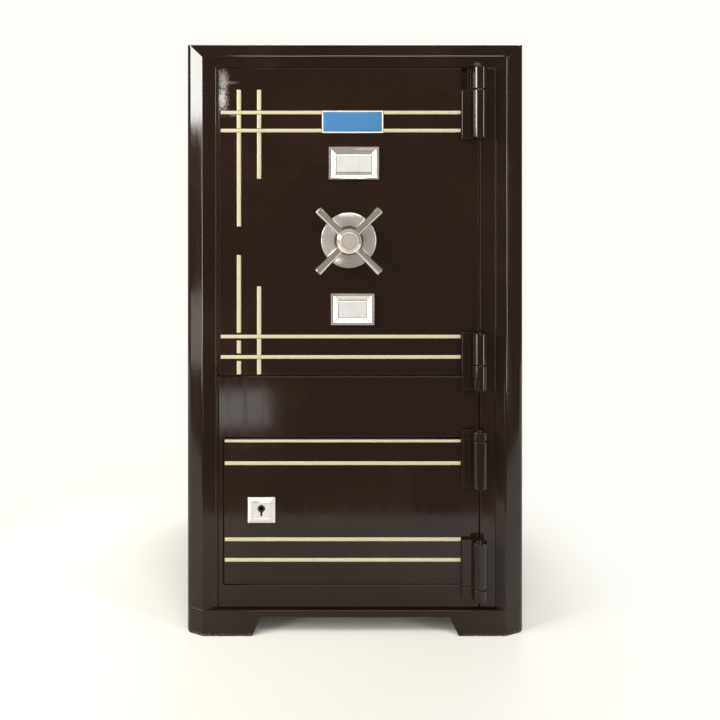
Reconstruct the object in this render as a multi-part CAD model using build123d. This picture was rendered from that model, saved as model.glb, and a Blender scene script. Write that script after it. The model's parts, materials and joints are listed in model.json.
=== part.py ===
from build123d import *
import os
from math import atan, cos, pi, radians, sin, sqrt

# Free-standing steel safe with a tall upper door, a small lower door and an arched plinth.
# Millimetres, +Z up. The front faces -Y and the origin is the centre of the footprint on the floor.
# Depths are counted inward from the crest, the foremost line of the front moulding.

os.makedirs("parts", exist_ok=True)

# Overall cabinet
case_width = 714.0
case_height = 1245.0
case_depth = 686.0
casing_plate = 5.0
liner_plate = 3.0
wall_thickness = 50.0
air = 0.6
# length by which a cutter passes what it cuts
over = 1.0

# Front moulding, measured on the front view from the outer edges
crest_inset_left = 37.0
crest_inset_right = 41.0
crest_inset_top = 28.0
bevel_drop_side = 18.0
bevel_drop_top = 14.0
slope_width_left = 24.5
slope_width_right = 19.0
slope_width_top = 21.0
face_recess = 9.0
jamb_lip = 5.5
outer_edge_radius = 18.0
top_edge_radius = 5.0
crest_radius = 3.0
flange_width = 13.0
flange_depth = 34.0

# Plinth
plinth_height = 54.0
plinth_skirt = 8.0
arch_height = 39.2
arch_half_top = 198.0
arch_half_foot = 217.5
arch_corner_radius = 5.0
foot_outer_radius = 8.0
side_arch_margin = 150.0
base_plate_thickness = 6.0

# Doors, as heights above the floor
door_plate = 12.0
door_gap = 1.8
seat_gap = 0.6
door_corner_radius = 3.0
upper_door_bottom = 545.5
lower_door_top = 413.5
lower_door_bottom = 105.3
lower_jamb_width = 11.5
stile_width = 34.0

# Door seats and the slabs that enter them
seat_depth = 28.0
slab_inset_lock_side = 27.0
slab_inset_hinge_side = 15.0
slab_inset_height = 15.0
seat_clearance_lock_side = 12.5
seat_clearance = 3.0
upper_slab_depth = 63.0
lower_slab_depth = 48.0
pan_sheet = 3.0
inner_cover = 3.0
upper_fill_depth = 24.0
lower_fill_depth = 18.0
boltwork_plate_thickness = 4.0
seat_split_height = 480.0

# Compartments
upper_floor = 540.0
lower_floor = 105.0
lower_ceiling = 424.0
shelf_height = 850.0
shelf_thickness = 3.0
shelf_front_setback = 90.0
shelf_lip = 18.0
rest_width = 22.0
rest_thickness = 3.0
shelf_gap = 2.0

# Hinges
barrel_radius = 15.3
barrel_standoff = 0.5
pin_radius = 7.0
pin_clearance = 0.08
knuckle_gap = 0.8
hinge_axis_offset = 1.0
leaf_left_reach = 36.5
leaf_thickness = 9.0
leaf_edge_radius = 2.0
foot_width = 11.0
hinge_1_top_drop = 2.0
hinge_1_joint_drop = 49.5
hinge_1_bottom_drop = 150.5
hinge_2_top = 638.0
hinge_2_joint = 572.0
hinge_2_bottom = 518.5
hinge_3_top = 433.0
hinge_3_bottom = 313.5
hinge_4_top = 202.0
hinge_4_bottom = 79.5
notch_sink = 5.0
notch_inset = 1.0
web_inset = 1.0
dog_bar_throw = 12.0
dog_bar_thickness = 16.0
dog_bar_setback = 6.0
upper_dog_bar_margin = 40.0
lower_dog_bar_margin = 30.0

# Handle
handle_across = 0.4995
handle_up = 0.4401
rose_radius = 58.2
rose_rim = 2.4
rose_step = 3.0
rose_step_rise = 1.2
rose_dish = 8.0
rose_crown_radius = 31.0
hub_radius = 25.6
hub_face_radius = 19.5
hub_length = 48.0
hub_bevel = 5.0
cap_radius = 18.6
cap_height = 2.0
cap_edge = 1.2
spoke_radius = 7.5
spoke_tip_radius = 91.0
spoke_count = 4
spoke_first_angle = 45.0
spoke_standoff = 34.0
spoke_edge = 0.8
spoke_sink = 6.0
spindle_sink = 8.0
spindle_radius = 9.0
spindle_clearance = 0.5

# Boltwork
gear_module = 2.0
pinion_teeth = 18
tooth_backlash = 0.8
pressure_angle = 20.0
pinion_width = 12.0
handle_turn_degrees = 90.0
rack_height = 14.0
rack_width = 10.0
rack_right_reach = 42.0
bolt_count = 4
bolt_radius = 11.0
bolt_shank_radius = 6.0
bolt_first_up = 0.1765
bolt_last_up = 0.8702
bolt_clearance = 0.5
bolt_nose_bevel = 1.5
carrier_width = 16.0
carrier_thickness = 20.0
carrier_margin = 30.0
nut_radius = 9.5
nut_height = 7.0
shank_overrun = 2.0
guide_bar_width = 10.0
guide_bar_setback = 3.0
guide_bar_lip = 2.0
block_bar_height = 20.0
block_bar_thickness = 8.0
block_bar_reach = 30.0
block_bar_room = 1.6
notch_side_room = 1.0
notch_end_room = 2.0

# Key locks behind the covers
lock_width = 92.0
lock_height = 72.0
lock_depth = 22.0
lock_wall = 2.5
lock_bolt_width = 16.0
lock_bolt_thickness = 7.0
lock_bolt_length = 46.0
lock_bolt_travel = 10.0
lock_bolt_rest = 8.0
lock_bolt_clearance = 0.5

# Covers in their moulded frames
top_cover_across = 0.5191
top_cover_up = 0.6909
top_cover_width = 105.0
top_cover_height = 67.7
bottom_cover_across = 0.5144
bottom_cover_up = 0.2166
bottom_cover_width = 90.8
bottom_cover_height = 66.0
cover_frame_width = 15.0
cover_frame_rise = 8.0
cover_frame_rim = 2.2
cover_outer_bevel = 5.0
flap_thickness = 3.0
flap_clearance = 0.5
flap_pin_radius = 1.2
flap_pin_lift = 0.4
flap_pin_reach = 4.0
flap_pin_end_gap = 0.5
keyhole_radius = 6.0
keyhole_slot = 5.0
keyhole_drop = 15.0

# Name plate and trim
name_plate_across = 0.5147
name_plate_up = 0.8255
name_plate_width = 129.5
name_plate_height = 47.2
name_plate_rise = 2.0
name_field_rise = 1.2
name_border = 4.2
trim_rise = 2.6
trim_edge_radius = 2.1
trim_width_level = 7.7
trim_width_upright = 9.0
trim_thin_width = 6.0
trim_crossing_gap = 0.6
trim_wide_gap = 4.5
upper_trim_inset = 4.7
lower_trim_inset = 1.7
trim_end_gap = 1.4
upper_trim_up = [0.8557, 0.7971, 0.1269, 0.0604]
lower_trim_heights = [407.4, 360.5, 199.9, 156.6]
trim_upright_left_inset = 42.8
trim_upright_right_inset = 85.4
trim_upright_top_up = 0.9292
trim_upright_left_up = [0.4854, 0.3922]
trim_upright_right_up = [0.6405, 0.2903]
trim_upright_foot = 3.0

# Lower lock
escutcheon_inset = 78.9
escutcheon_z = 261.7
escutcheon_width = 57.9
escutcheon_height = 54.0
escutcheon_rise = 5.0
escutcheon_bevel = 6.5
escutcheon_lip = 1.2
lower_keyhole_z = 265.7
lower_keyhole_radius = 8.1
lower_keyhole_slot = 4.4
lower_keyhole_drop = 16.0
nose_bore_radius = 4.2
nose_wall = 3.2
nose_sink = 1.5
lower_lock_width = 70.0
lower_lock_height = 90.0
lower_lock_depth = 25.0
lower_bolt_height = 34.0
lower_bolt_thickness = 9.0
lower_bolt_length = 64.0
lower_bolt_throw = 24.0
lower_bolt_clearance = 0.8
screw_radius = 4.0
screw_rise = 2.0
screw_inset = 22.0

# Planes and places that follow from the sizes above
half_width = case_width / 2
handle_reach = rose_dish + air + hub_length + cap_height - face_recess
crest_y = (handle_reach - case_depth) / 2
back_y = crest_y + case_depth
face_y = crest_y + face_recess
plate_back_y = face_y + door_plate
seat_front_y = plate_back_y + seat_gap
seat_back_y = seat_front_y + seat_depth
flange_y = crest_y + flange_depth

opening_left = -half_width + crest_inset_left + slope_width_left + jamb_lip
opening_top = case_height - crest_inset_top - slope_width_top
stile_right = half_width - crest_inset_right - slope_width_right
stile_left = stile_right - stile_width
door_left = opening_left + door_gap
door_right = stile_left - door_gap
upper_door_top = opening_top - door_gap
lower_door_left = opening_left + lower_jamb_width + door_gap

door_width = door_right - door_left
upper_door_height = upper_door_top - upper_door_bottom
slab_right = door_right - slab_inset_hinge_side
upper_slab_left = door_left + slab_inset_lock_side
upper_slab_top = upper_door_top - slab_inset_height
upper_slab_bottom = upper_door_bottom + slab_inset_height
lower_slab_left = lower_door_left + slab_inset_lock_side
lower_slab_top = lower_door_top - slab_inset_height
lower_slab_bottom = lower_door_bottom + slab_inset_height
upper_slab_y = plate_back_y + upper_slab_depth
lower_slab_y = plate_back_y + lower_slab_depth

cavity_half = half_width - wall_thickness
cavity_top = case_height - wall_thickness
cavity_back_y = back_y - wall_thickness

hinge_x = door_right - hinge_axis_offset
hinge_y = face_y - barrel_radius - barrel_standoff
hinge_1_top = opening_top - hinge_1_top_drop
hinge_1_joint = opening_top - hinge_1_joint_drop
hinge_1_bottom = opening_top - hinge_1_bottom_drop

# Places on the upper door are shares of its width and height, from its lower left corner
handle_x = door_left + handle_across * door_width
handle_z = upper_door_bottom + handle_up * upper_door_height
top_cover_x = door_left + top_cover_across * door_width
top_cover_z = upper_door_bottom + top_cover_up * upper_door_height
bottom_cover_x = door_left + bottom_cover_across * door_width
bottom_cover_z = upper_door_bottom + bottom_cover_up * upper_door_height
name_plate_x = door_left + name_plate_across * door_width
name_plate_z = upper_door_bottom + name_plate_up * upper_door_height
bolt_first_height = upper_door_bottom + bolt_first_up * upper_door_height
bolt_last_height = upper_door_bottom + bolt_last_up * upper_door_height
upper_trim_heights = [upper_door_bottom + up * upper_door_height for up in upper_trim_up]
upper_trim_left = door_left + upper_trim_inset
trim_upright_left_x = door_left + trim_upright_left_inset
trim_upright_right_x = door_left + trim_upright_right_inset
trim_upright_top = upper_door_bottom + trim_upright_top_up * upper_door_height
trim_upright_left_middle = [upper_door_bottom + up * upper_door_height for up in trim_upright_left_up]
trim_upright_right_middle = [upper_door_bottom + up * upper_door_height for up in trim_upright_right_up]
trim_upright_bottom = upper_door_bottom + trim_upright_foot
trim_right = hinge_x - leaf_left_reach - trim_end_gap
lower_trim_left = lower_door_left + lower_trim_inset
escutcheon_x = lower_door_left + escutcheon_inset

work_front_y = plate_back_y + upper_fill_depth + boltwork_plate_thickness
work_back_y = upper_slab_y - inner_cover
bolt_y = (work_front_y + work_back_y) / 2
pinion_pitch_radius = gear_module * pinion_teeth / 2
bolt_throw = pinion_pitch_radius * radians(handle_turn_degrees)
bolt_tip_x = upper_slab_left + air
guide_bar_left = upper_slab_left + pan_sheet + guide_bar_setback
carrier_left = guide_bar_left + guide_bar_width + bolt_throw + 2 * air
carrier_right = carrier_left + carrier_width
bolt_pitch = (bolt_last_height - bolt_first_height) / (bolt_count - 1)
bolt_heights = [bolt_first_height + i * bolt_pitch for i in range(bolt_count)]
lock_front_y = work_front_y
lock_back_y = lock_front_y + lock_depth
top_bar_z = top_cover_z - lock_height / 2 - lock_bolt_rest - block_bar_room - block_bar_height / 2
bottom_bar_z = bottom_cover_z + lock_height / 2 + lock_bolt_rest + block_bar_room + block_bar_height / 2
lock_bolt_y = bolt_y


def block(x0, x1, y0, y1, z0, z1):
    """Box between two corners."""
    return Pos((x0 + x1) / 2, (y0 + y1) / 2, (z0 + z1) / 2) * Box(abs(x1 - x0), abs(y1 - y0), abs(z1 - z0))


def rod_y(x, z, radius, y0, y1):
    """Round rod that runs front to back."""
    return Pos(x, (y0 + y1) / 2, z) * Rot(90, 0, 0) * Cylinder(radius, abs(y1 - y0))


def rod_x(y, z, radius, x0, x1):
    """Round rod that runs left to right."""
    return Pos((x0 + x1) / 2, y, z) * Rot(0, 90, 0) * Cylinder(radius, abs(x1 - x0))


def rod_z(x, y, radius, z0, z1):
    """Upright round rod."""
    return Pos(x, y, (z0 + z1) / 2) * Cylinder(radius, abs(z1 - z0))


def plan_prism(points, z0, z1):
    """Upright prism over an outline in X and Y."""
    face = make_face(Polyline(*points, close=True))
    return Pos(0, 0, z0) * extrude(face, z1 - z0, dir=(0, 0, 1))


def front_prism(points, y0, y1):
    """Prism along Y over an outline in X and Z."""
    face = make_face(Polyline(*[(x, y0, z) for x, z in points], close=True))
    return extrude(face, y1 - y0, dir=(0, 1, 0))


def side_prism(points, x0, x1):
    """Prism along X over an outline in Y and Z."""
    face = make_face(Polyline(*[(x0, y, z) for y, z in points], close=True))
    return extrude(face, x1 - x0, dir=(1, 0, 0))


def rectangle_at(x, y, z, width, height):
    """Upright rectangle that faces the front."""
    return (Pos(x, y, z) * Rot(90, 0, 0) * Rectangle(width, height)).face()


def edges_along(shape, axis, x=None, y=None, z=None, tolerance=0.05):
    """Edges parallel to an axis whose centre lies at the given coordinates."""
    found = []
    for edge in shape.edges().filter_by(axis):
        centre = edge.center()
        wanted = [(x, centre.X), (y, centre.Y), (z, centre.Z)]
        if all(w is None or abs(w - c) < tolerance for w, c in wanted):
            found.append(edge)
    return found


def write(name, *solids):
    """Write one named piece, or a group of like pieces."""
    shape = solids[0] if len(solids) == 1 else Compound(children=list(solids))
    shape.label = name
    export_step(shape, f"parts/{name}.step")


# Cabinet body

def front_outline(depth_back):
    """Plan of the front: outer bevels that rise to the crest on each side."""
    left = -half_width
    right = half_width
    return [
        (left, depth_back),
        (left, crest_y + bevel_drop_side),
        (left + crest_inset_left, crest_y),
        (right - crest_inset_right, crest_y),
        (right, crest_y + bevel_drop_side),
        (right, depth_back),
    ]


def front_body(z0, z1):
    """Bevelled front bar with its long outer edges rounded."""
    body = plan_prism(front_outline(flange_y), z0, z1)
    outer = edges_along(body, Axis.Z, x=-half_width, y=crest_y + bevel_drop_side)
    outer += edges_along(body, Axis.Z, x=half_width, y=crest_y + bevel_drop_side)
    body = fillet(outer, outer_edge_radius)
    crests = edges_along(body, Axis.Z, x=-half_width + crest_inset_left, y=crest_y)
    crests += edges_along(body, Axis.Z, x=half_width - crest_inset_right, y=crest_y)
    return fillet(crests, crest_radius)


def front_frame():
    """Three-sided moulding: outer bevel, crest and an inner slope down to the doors."""
    body = front_body(plinth_height, case_height)
    top_profile = [
        (crest_y, plinth_height),
        (crest_y, case_height - crest_inset_top),
        (crest_y + bevel_drop_top, case_height),
        (flange_y, case_height),
        (flange_y, plinth_height),
    ]
    cap = side_prism(top_profile, -half_width, half_width)
    cap = fillet(edges_along(cap, Axis.X, y=crest_y + bevel_drop_top, z=case_height), top_edge_radius)
    body = body & cap
    slope_plan = [
        (-half_width + crest_inset_left, crest_y),
        (half_width - crest_inset_right, crest_y),
        (stile_right, face_y),
        (opening_left - jamb_lip, face_y),
    ]
    slope_side = [
        (crest_y, plinth_height - over),
        (crest_y, case_height - crest_inset_top),
        (face_y, opening_top),
        (face_y, plinth_height - over),
    ]
    recess = plan_prism(slope_plan, plinth_height - over, case_height)
    recess = recess & side_prism(slope_side, -half_width, half_width)
    through = block(opening_left, stile_right, crest_y, flange_y + over, plinth_height - over, opening_top)
    behind = block(
        -half_width + flange_width, half_width - flange_width,
        seat_front_y, flange_y + over, plinth_height - over, case_height - flange_width,
    )
    return body - recess - through - behind


def front_mouldings():
    """The frame cut along its corner mitres into left, top and right bars."""
    frame = front_frame()
    far = case_height
    left_corner = (-half_width, case_height)
    right_corner = (half_width, case_height)
    left_inner = (opening_left, opening_top)
    right_inner = (stile_right, opening_top)
    left_cutter = front_prism(
        [left_corner, left_inner, (opening_left, 0), (-half_width - far, 0),
         (-half_width - far, case_height)],
        crest_y - over, flange_y + over,
    )
    right_cutter = front_prism(
        [right_corner, right_inner, (stile_right, 0), (half_width + far, 0), (half_width + far, case_height)],
        crest_y - over, flange_y + over,
    )
    write("left_front_moulding", frame & left_cutter)
    write("right_front_moulding", frame & right_cutter)
    write("top_front_moulding", frame - left_cutter - right_cutter)


def casing():
    """Outer wrap of plate: both sides and the top, bent from one sheet."""
    outer = block(-half_width, half_width, flange_y, back_y, plinth_height, case_height)
    outer = fillet(edges_along(outer, Axis.Y, z=case_height), top_edge_radius)
    inner = block(
        -half_width + casing_plate, half_width - casing_plate,
        flange_y - over, back_y + over, plinth_height - over, case_height - casing_plate,
    )
    write("casing_shell", outer - inner)
    inside = half_width - casing_plate
    back = block(-inside, inside, back_y - casing_plate, back_y,
                 plinth_height + base_plate_thickness, case_height - casing_plate)
    write("back_plate", back)
    base = block(-inside, inside, flange_y, back_y, plinth_height, plinth_height + base_plate_thickness)
    front_part = block(-inside + flange_width, inside - flange_width, seat_front_y, flange_y,
                       plinth_height, plinth_height + base_plate_thickness)
    write("base_plate", base + front_part)


def filling():
    """Poured fire-resisting filling between the casing and the liners."""
    inside = half_width - casing_plate
    mass = block(-inside, inside, seat_back_y, back_y - casing_plate,
                 plinth_height + base_plate_thickness, case_height - casing_plate)
    outer_half = cavity_half + liner_plate
    back = cavity_back_y + liner_plate
    upper = block(-outer_half, outer_half, seat_back_y - over, back,
                  upper_floor - liner_plate, cavity_top + liner_plate)
    lower = block(-outer_half, outer_half, seat_back_y - over, back,
                  lower_floor - liner_plate, lower_ceiling + liner_plate)
    write("fire_filling", mass - upper - lower)


def liner(name, z0, z1):
    """Open-fronted sheet box that lines one compartment."""
    outer = block(-cavity_half - liner_plate, cavity_half + liner_plate, seat_back_y,
                  cavity_back_y + liner_plate, z0 - liner_plate, z1 + liner_plate)
    inner = block(-cavity_half, cavity_half, seat_back_y - over, cavity_back_y, z0, z1)
    write(name, outer - inner)


def door_seat(name, z0, z1, left, bottom, top):
    """Ring that the door closes against, with the throat that takes the door's slab."""
    edge = half_width - flange_width
    ring = block(-edge, edge, seat_front_y, seat_back_y, z0, z1)
    throat = block(left, slab_right + seat_clearance, seat_front_y - over, seat_back_y + over, bottom, top)
    write(name, ring - throat)


def front_plates():
    """Hinge stile, and the plate that frames the lower door on three sides."""
    write("hinge_stile", block(stile_left, stile_right, face_y, seat_front_y, plinth_height, opening_top))
    left = opening_left + air
    right = door_right
    rail_top = upper_door_bottom - door_gap
    plate = block(left, right, face_y, seat_front_y, plinth_height, rail_top)
    hole = block(lower_door_left - door_gap, right + over, face_y - over, seat_front_y + over,
                 lower_door_bottom - door_gap, lower_door_top + door_gap)
    plate = plate - hole
    write("lower_front_plate", plate)


def arch_outline(half_foot, half_top, low):
    """Sloped sides and a flat head."""
    return [(-half_foot, low), (-half_top, arch_height), (half_top, arch_height), (half_foot, low)]


def plinth():
    """Front bar with an arch between two feet, side skirts and a back skirt."""
    low = 0
    body = front_body(low, plinth_height)
    outline = [(-half_width, low), (-half_width, plinth_height),
               (half_width, plinth_height), (half_width, low)]
    window = front_prism(outline, crest_y - over, flange_y + over)
    corners = edges_along(window, Axis.Y, z=low)
    window = fillet(corners, foot_outer_radius)
    flare = (arch_half_foot - arch_half_top) / arch_height
    arch = front_prism(arch_outline(arch_half_foot + flare, arch_half_top, low - over),
                       crest_y - over, back_y + over)
    arch = fillet(edges_along(arch, Axis.Y, z=arch_height), arch_corner_radius)
    front = (body & window) - arch
    front = fillet(edges_along(front, Axis.X, y=crest_y, z=plinth_height), crest_radius / 2)
    write("plinth_front", front)

    middle_y = (flange_y + back_y) / 2
    half_run = (back_y - flange_y) / 2 - side_arch_margin
    head_run = half_run - (arch_half_foot - arch_half_top)
    side_points = [(middle_y + y, z) for y, z in arch_outline(half_run + flare, head_run, low - over)]
    side_arch = side_prism(side_points, -half_width - over, half_width + over)
    sides = []
    for x0, x1 in ((-half_width, -half_width + plinth_skirt), (half_width - plinth_skirt, half_width)):
        skirt = block(x0, x1, flange_y, back_y, low, plinth_height)
        sides.append(skirt - side_arch)
    write("plinth_sides", *sides)
    inner = half_width - plinth_skirt
    write("plinth_back", block(-inner, inner, back_y - plinth_skirt, back_y, low, plinth_height) - arch)


def shelf():
    """One shelf on a pair of angle rests."""
    front = seat_back_y + shelf_front_setback
    side = cavity_half - shelf_gap
    top = shelf_height + shelf_thickness
    board = block(-side, side, front, cavity_back_y - shelf_gap, shelf_height, top)
    lip = block(-side + rest_width + shelf_gap, side - rest_width - shelf_gap, front, front + shelf_thickness,
                shelf_height - shelf_lip, shelf_height)
    write("shelf", board + lip)
    rests = []
    for sign in (-1, 1):
        wall = sign * cavity_half
        upright = block(wall, wall - sign * rest_thickness, front, cavity_back_y,
                        shelf_height - rest_width, shelf_height)
        foot = block(wall, wall - sign * rest_width, front, cavity_back_y,
                     shelf_height - rest_thickness, shelf_height)
        rests.append(upright + foot)
    write("shelf_rests", *rests)


# Hinges

def barrel(z0, z1):
    """Knuckle tube with a soft outer edge at both ends."""
    tube = rod_z(hinge_x, hinge_y, barrel_radius, z0, z1)
    tube = fillet(tube.edges().filter_by(GeomType.CIRCLE), leaf_edge_radius)
    return tube


def leaf(z0, z1):
    """Raised pad at the left of the barrel."""
    left = hinge_x - leaf_left_reach
    pad = block(left, hinge_x, face_y - leaf_thickness, face_y, z0, z1)
    return fillet(edges_along(pad, Axis.Z, x=left, y=face_y - leaf_thickness), leaf_edge_radius)


def stile_foot(z0, z1):
    """Web that welds a fixed knuckle to the hinge stile."""
    return block(stile_left + web_inset, hinge_x + foot_width, hinge_y, face_y, z0, z1)


def sleeve(z0, z1, radius):
    """Cylinder on the hinge axis used to clear room."""
    return rod_z(hinge_x, hinge_y, radius, z0, z1)


def fixed_knuckles():
    """Knuckles that stay with the cabinet."""
    block_low = hinge_1_joint + notch_inset + door_gap
    swing_room = sqrt((plate_back_y - hinge_y) ** 2 + (hinge_x - slab_right) ** 2) - air
    top_block = block(hinge_x - swing_room, stile_left, face_y + notch_sink, plate_back_y - air,
                      block_low, opening_top)
    top_block = top_block & sleeve(block_low, opening_top, swing_room)
    web = block(hinge_x - foot_width, stile_left, hinge_y, face_y + notch_sink,
                block_low, hinge_1_top)
    stile_web = stile_foot(hinge_1_joint + knuckle_gap, hinge_1_top)
    first = barrel(hinge_1_joint + knuckle_gap, hinge_1_top) + stile_web + web + top_block

    rail_top = upper_door_bottom - door_gap
    second = barrel(hinge_2_bottom, hinge_2_joint - knuckle_gap)
    second = second + stile_foot(hinge_2_bottom + leaf_edge_radius, hinge_2_joint - knuckle_gap)
    second = second + leaf(hinge_2_bottom, rail_top)

    third_low = lower_door_top + knuckle_gap
    rail_low = lower_door_top + door_gap
    third = barrel(third_low, hinge_3_top)
    third = third + stile_foot(third_low, hinge_3_top - leaf_edge_radius) + leaf(rail_low, hinge_3_top)

    fourth_high = lower_door_bottom - knuckle_gap
    fourth = barrel(hinge_4_bottom, fourth_high)
    fourth = fourth + stile_foot(hinge_4_bottom + leaf_edge_radius, fourth_high)
    fourth = fourth + leaf(hinge_4_bottom, lower_door_bottom - door_gap)

    pieces = []
    for piece, z0, z1 in (
        (first, hinge_1_joint, hinge_1_top),
        (second, hinge_2_bottom, hinge_2_joint),
        (third, third_low, hinge_3_top),
        (fourth, hinge_4_bottom, fourth_high),
    ):
        pieces.append(piece - sleeve(z0 - over, z1 + over, pin_radius))
    write("fixed_knuckles", *pieces)


def door_knuckle(z0, z1, leaf_low, leaf_high):
    """Moving knuckle with its leaf, cleared round the fixed knuckle beside it."""
    piece = barrel(z0, z1) + leaf(leaf_low, leaf_high)
    room = barrel_radius + air
    for low, high in ((leaf_low - over, z0), (z1, leaf_high + over)):
        if high - low > 1.5:
            piece = piece - sleeve(low, high, room)
    return piece - sleeve(z0 - over, z1 + over, pin_radius + pin_clearance)


def hinges():
    """Door knuckles and the pins that run through each pair."""
    fixed_knuckles()
    first = door_knuckle(hinge_1_bottom, hinge_1_joint, hinge_1_bottom, hinge_1_joint)
    second = door_knuckle(hinge_2_joint, hinge_2_top, upper_door_bottom, hinge_2_top)
    write("upper_door_knuckles", first, second)
    third = door_knuckle(hinge_3_bottom, lower_door_top, hinge_3_bottom, lower_door_top)
    fourth = door_knuckle(lower_door_bottom, hinge_4_top, lower_door_bottom, hinge_4_top)
    write("lower_door_knuckles", third, fourth)
    runs = (
        (hinge_1_bottom, hinge_1_top),
        (hinge_2_bottom, hinge_2_top),
        (hinge_3_bottom, hinge_3_top),
        (hinge_4_bottom, hinge_4_top),
    )
    write("hinge_pins", *[rod_z(hinge_x, hinge_y, pin_radius, low, high) for low, high in runs])


# Doors

def keyhole(x, z, radius, slot, drop, y0, y1):
    """Round hole with a slot below it."""
    round_part = rod_y(x, z, radius, y0, y1)
    slot_part = block(x - slot / 2, x + slot / 2, y0, y1, z - drop, z)
    return round_part + slot_part


def door_skin(left, bottom, top):
    """Front plate with slightly eased corners."""
    plate = block(left, door_right, face_y, plate_back_y, bottom, top)
    return fillet(plate.edges().filter_by(Axis.Y), door_corner_radius)


def slab_pan(left, bottom, top, back):
    """Sheet tray behind the front plate, open to the rear."""
    outer = block(left, slab_right, plate_back_y, back - inner_cover, bottom, top)
    inner = block(left + pan_sheet, slab_right - pan_sheet, plate_back_y - over, back,
                  bottom + pan_sheet, top - pan_sheet)
    return outer - inner


def cover_sheet(left, bottom, top, back):
    """Plate that closes the back of a door."""
    return block(left, slab_right, back - inner_cover, back, bottom, top)


def cover_screws(name, left, bottom, top, back):
    """Pan-head screws round the inner cover."""
    screws = []
    middle = (bottom + top) / 2
    for x in (left + screw_inset, slab_right - screw_inset):
        for z in (bottom + screw_inset, middle, top - screw_inset):
            head = rod_y(x, z, screw_radius, back, back + screw_rise)
            screws.append(head)
    write(name, *screws)


def dog_bar(name, y_front, low, high):
    """Fixed bar that hooks behind the seat on the hinge side."""
    bar = block(slab_right, slab_right + dog_bar_throw, y_front, y_front + dog_bar_thickness, low, high)
    write(name, fillet(edges_along(bar, Axis.Z, x=slab_right + dog_bar_throw), leaf_edge_radius))


def upper_door():
    """Upper door: skin, tray, filling, boltwork plate and inner cover."""
    skin = door_skin(door_left, upper_door_bottom, upper_door_top)
    notch = block(hinge_x - leaf_left_reach + notch_inset, door_right + over,
                  face_y - over, plate_back_y + over,
                  hinge_1_joint + notch_inset, upper_door_top + over)
    skin = skin - notch
    shaft = rod_y(handle_x, handle_z, spindle_radius + spindle_clearance, face_y - over, upper_slab_y)
    skin = skin - shaft
    wells = []
    for x, z in ((top_cover_x, top_cover_z), (bottom_cover_x, bottom_cover_z)):
        skin = skin - keyhole(x, z, keyhole_radius, keyhole_slot, keyhole_drop,
                              face_y - over, plate_back_y + over)
        wells.append(block(x - keyhole_drop, x + keyhole_drop, plate_back_y - over, work_front_y + over,
                           z - keyhole_drop, z + keyhole_drop))
    write("upper_door_plate", skin)

    pan = slab_pan(upper_slab_left, upper_slab_bottom, upper_slab_top, upper_slab_y)
    for z in bolt_heights:
        pan = pan - rod_x(bolt_y, z, bolt_radius + bolt_clearance,
                          upper_slab_left - over, upper_slab_left + pan_sheet + over)
    write("upper_door_pan", pan)

    inner_left = upper_slab_left + pan_sheet
    inner_right = slab_right - pan_sheet
    low = upper_slab_bottom + pan_sheet
    high = upper_slab_top - pan_sheet
    fill_back = plate_back_y + upper_fill_depth
    fill = block(inner_left, inner_right, plate_back_y, fill_back, low, high) - shaft
    plate = block(inner_left, inner_right, fill_back, work_front_y, low, high) - shaft
    for well in wells:
        fill = fill - well
        plate = plate - well
    write("upper_door_filling", fill)
    write("boltwork_plate", plate)
    write("upper_inner_cover", cover_sheet(upper_slab_left, upper_slab_bottom, upper_slab_top, upper_slab_y))
    cover_screws("upper_cover_screws", upper_slab_left, upper_slab_bottom, upper_slab_top, upper_slab_y)
    dog_bar("upper_dog_bar", seat_back_y + dog_bar_setback,
            upper_slab_bottom + upper_dog_bar_margin, upper_slab_top - upper_dog_bar_margin)


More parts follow.
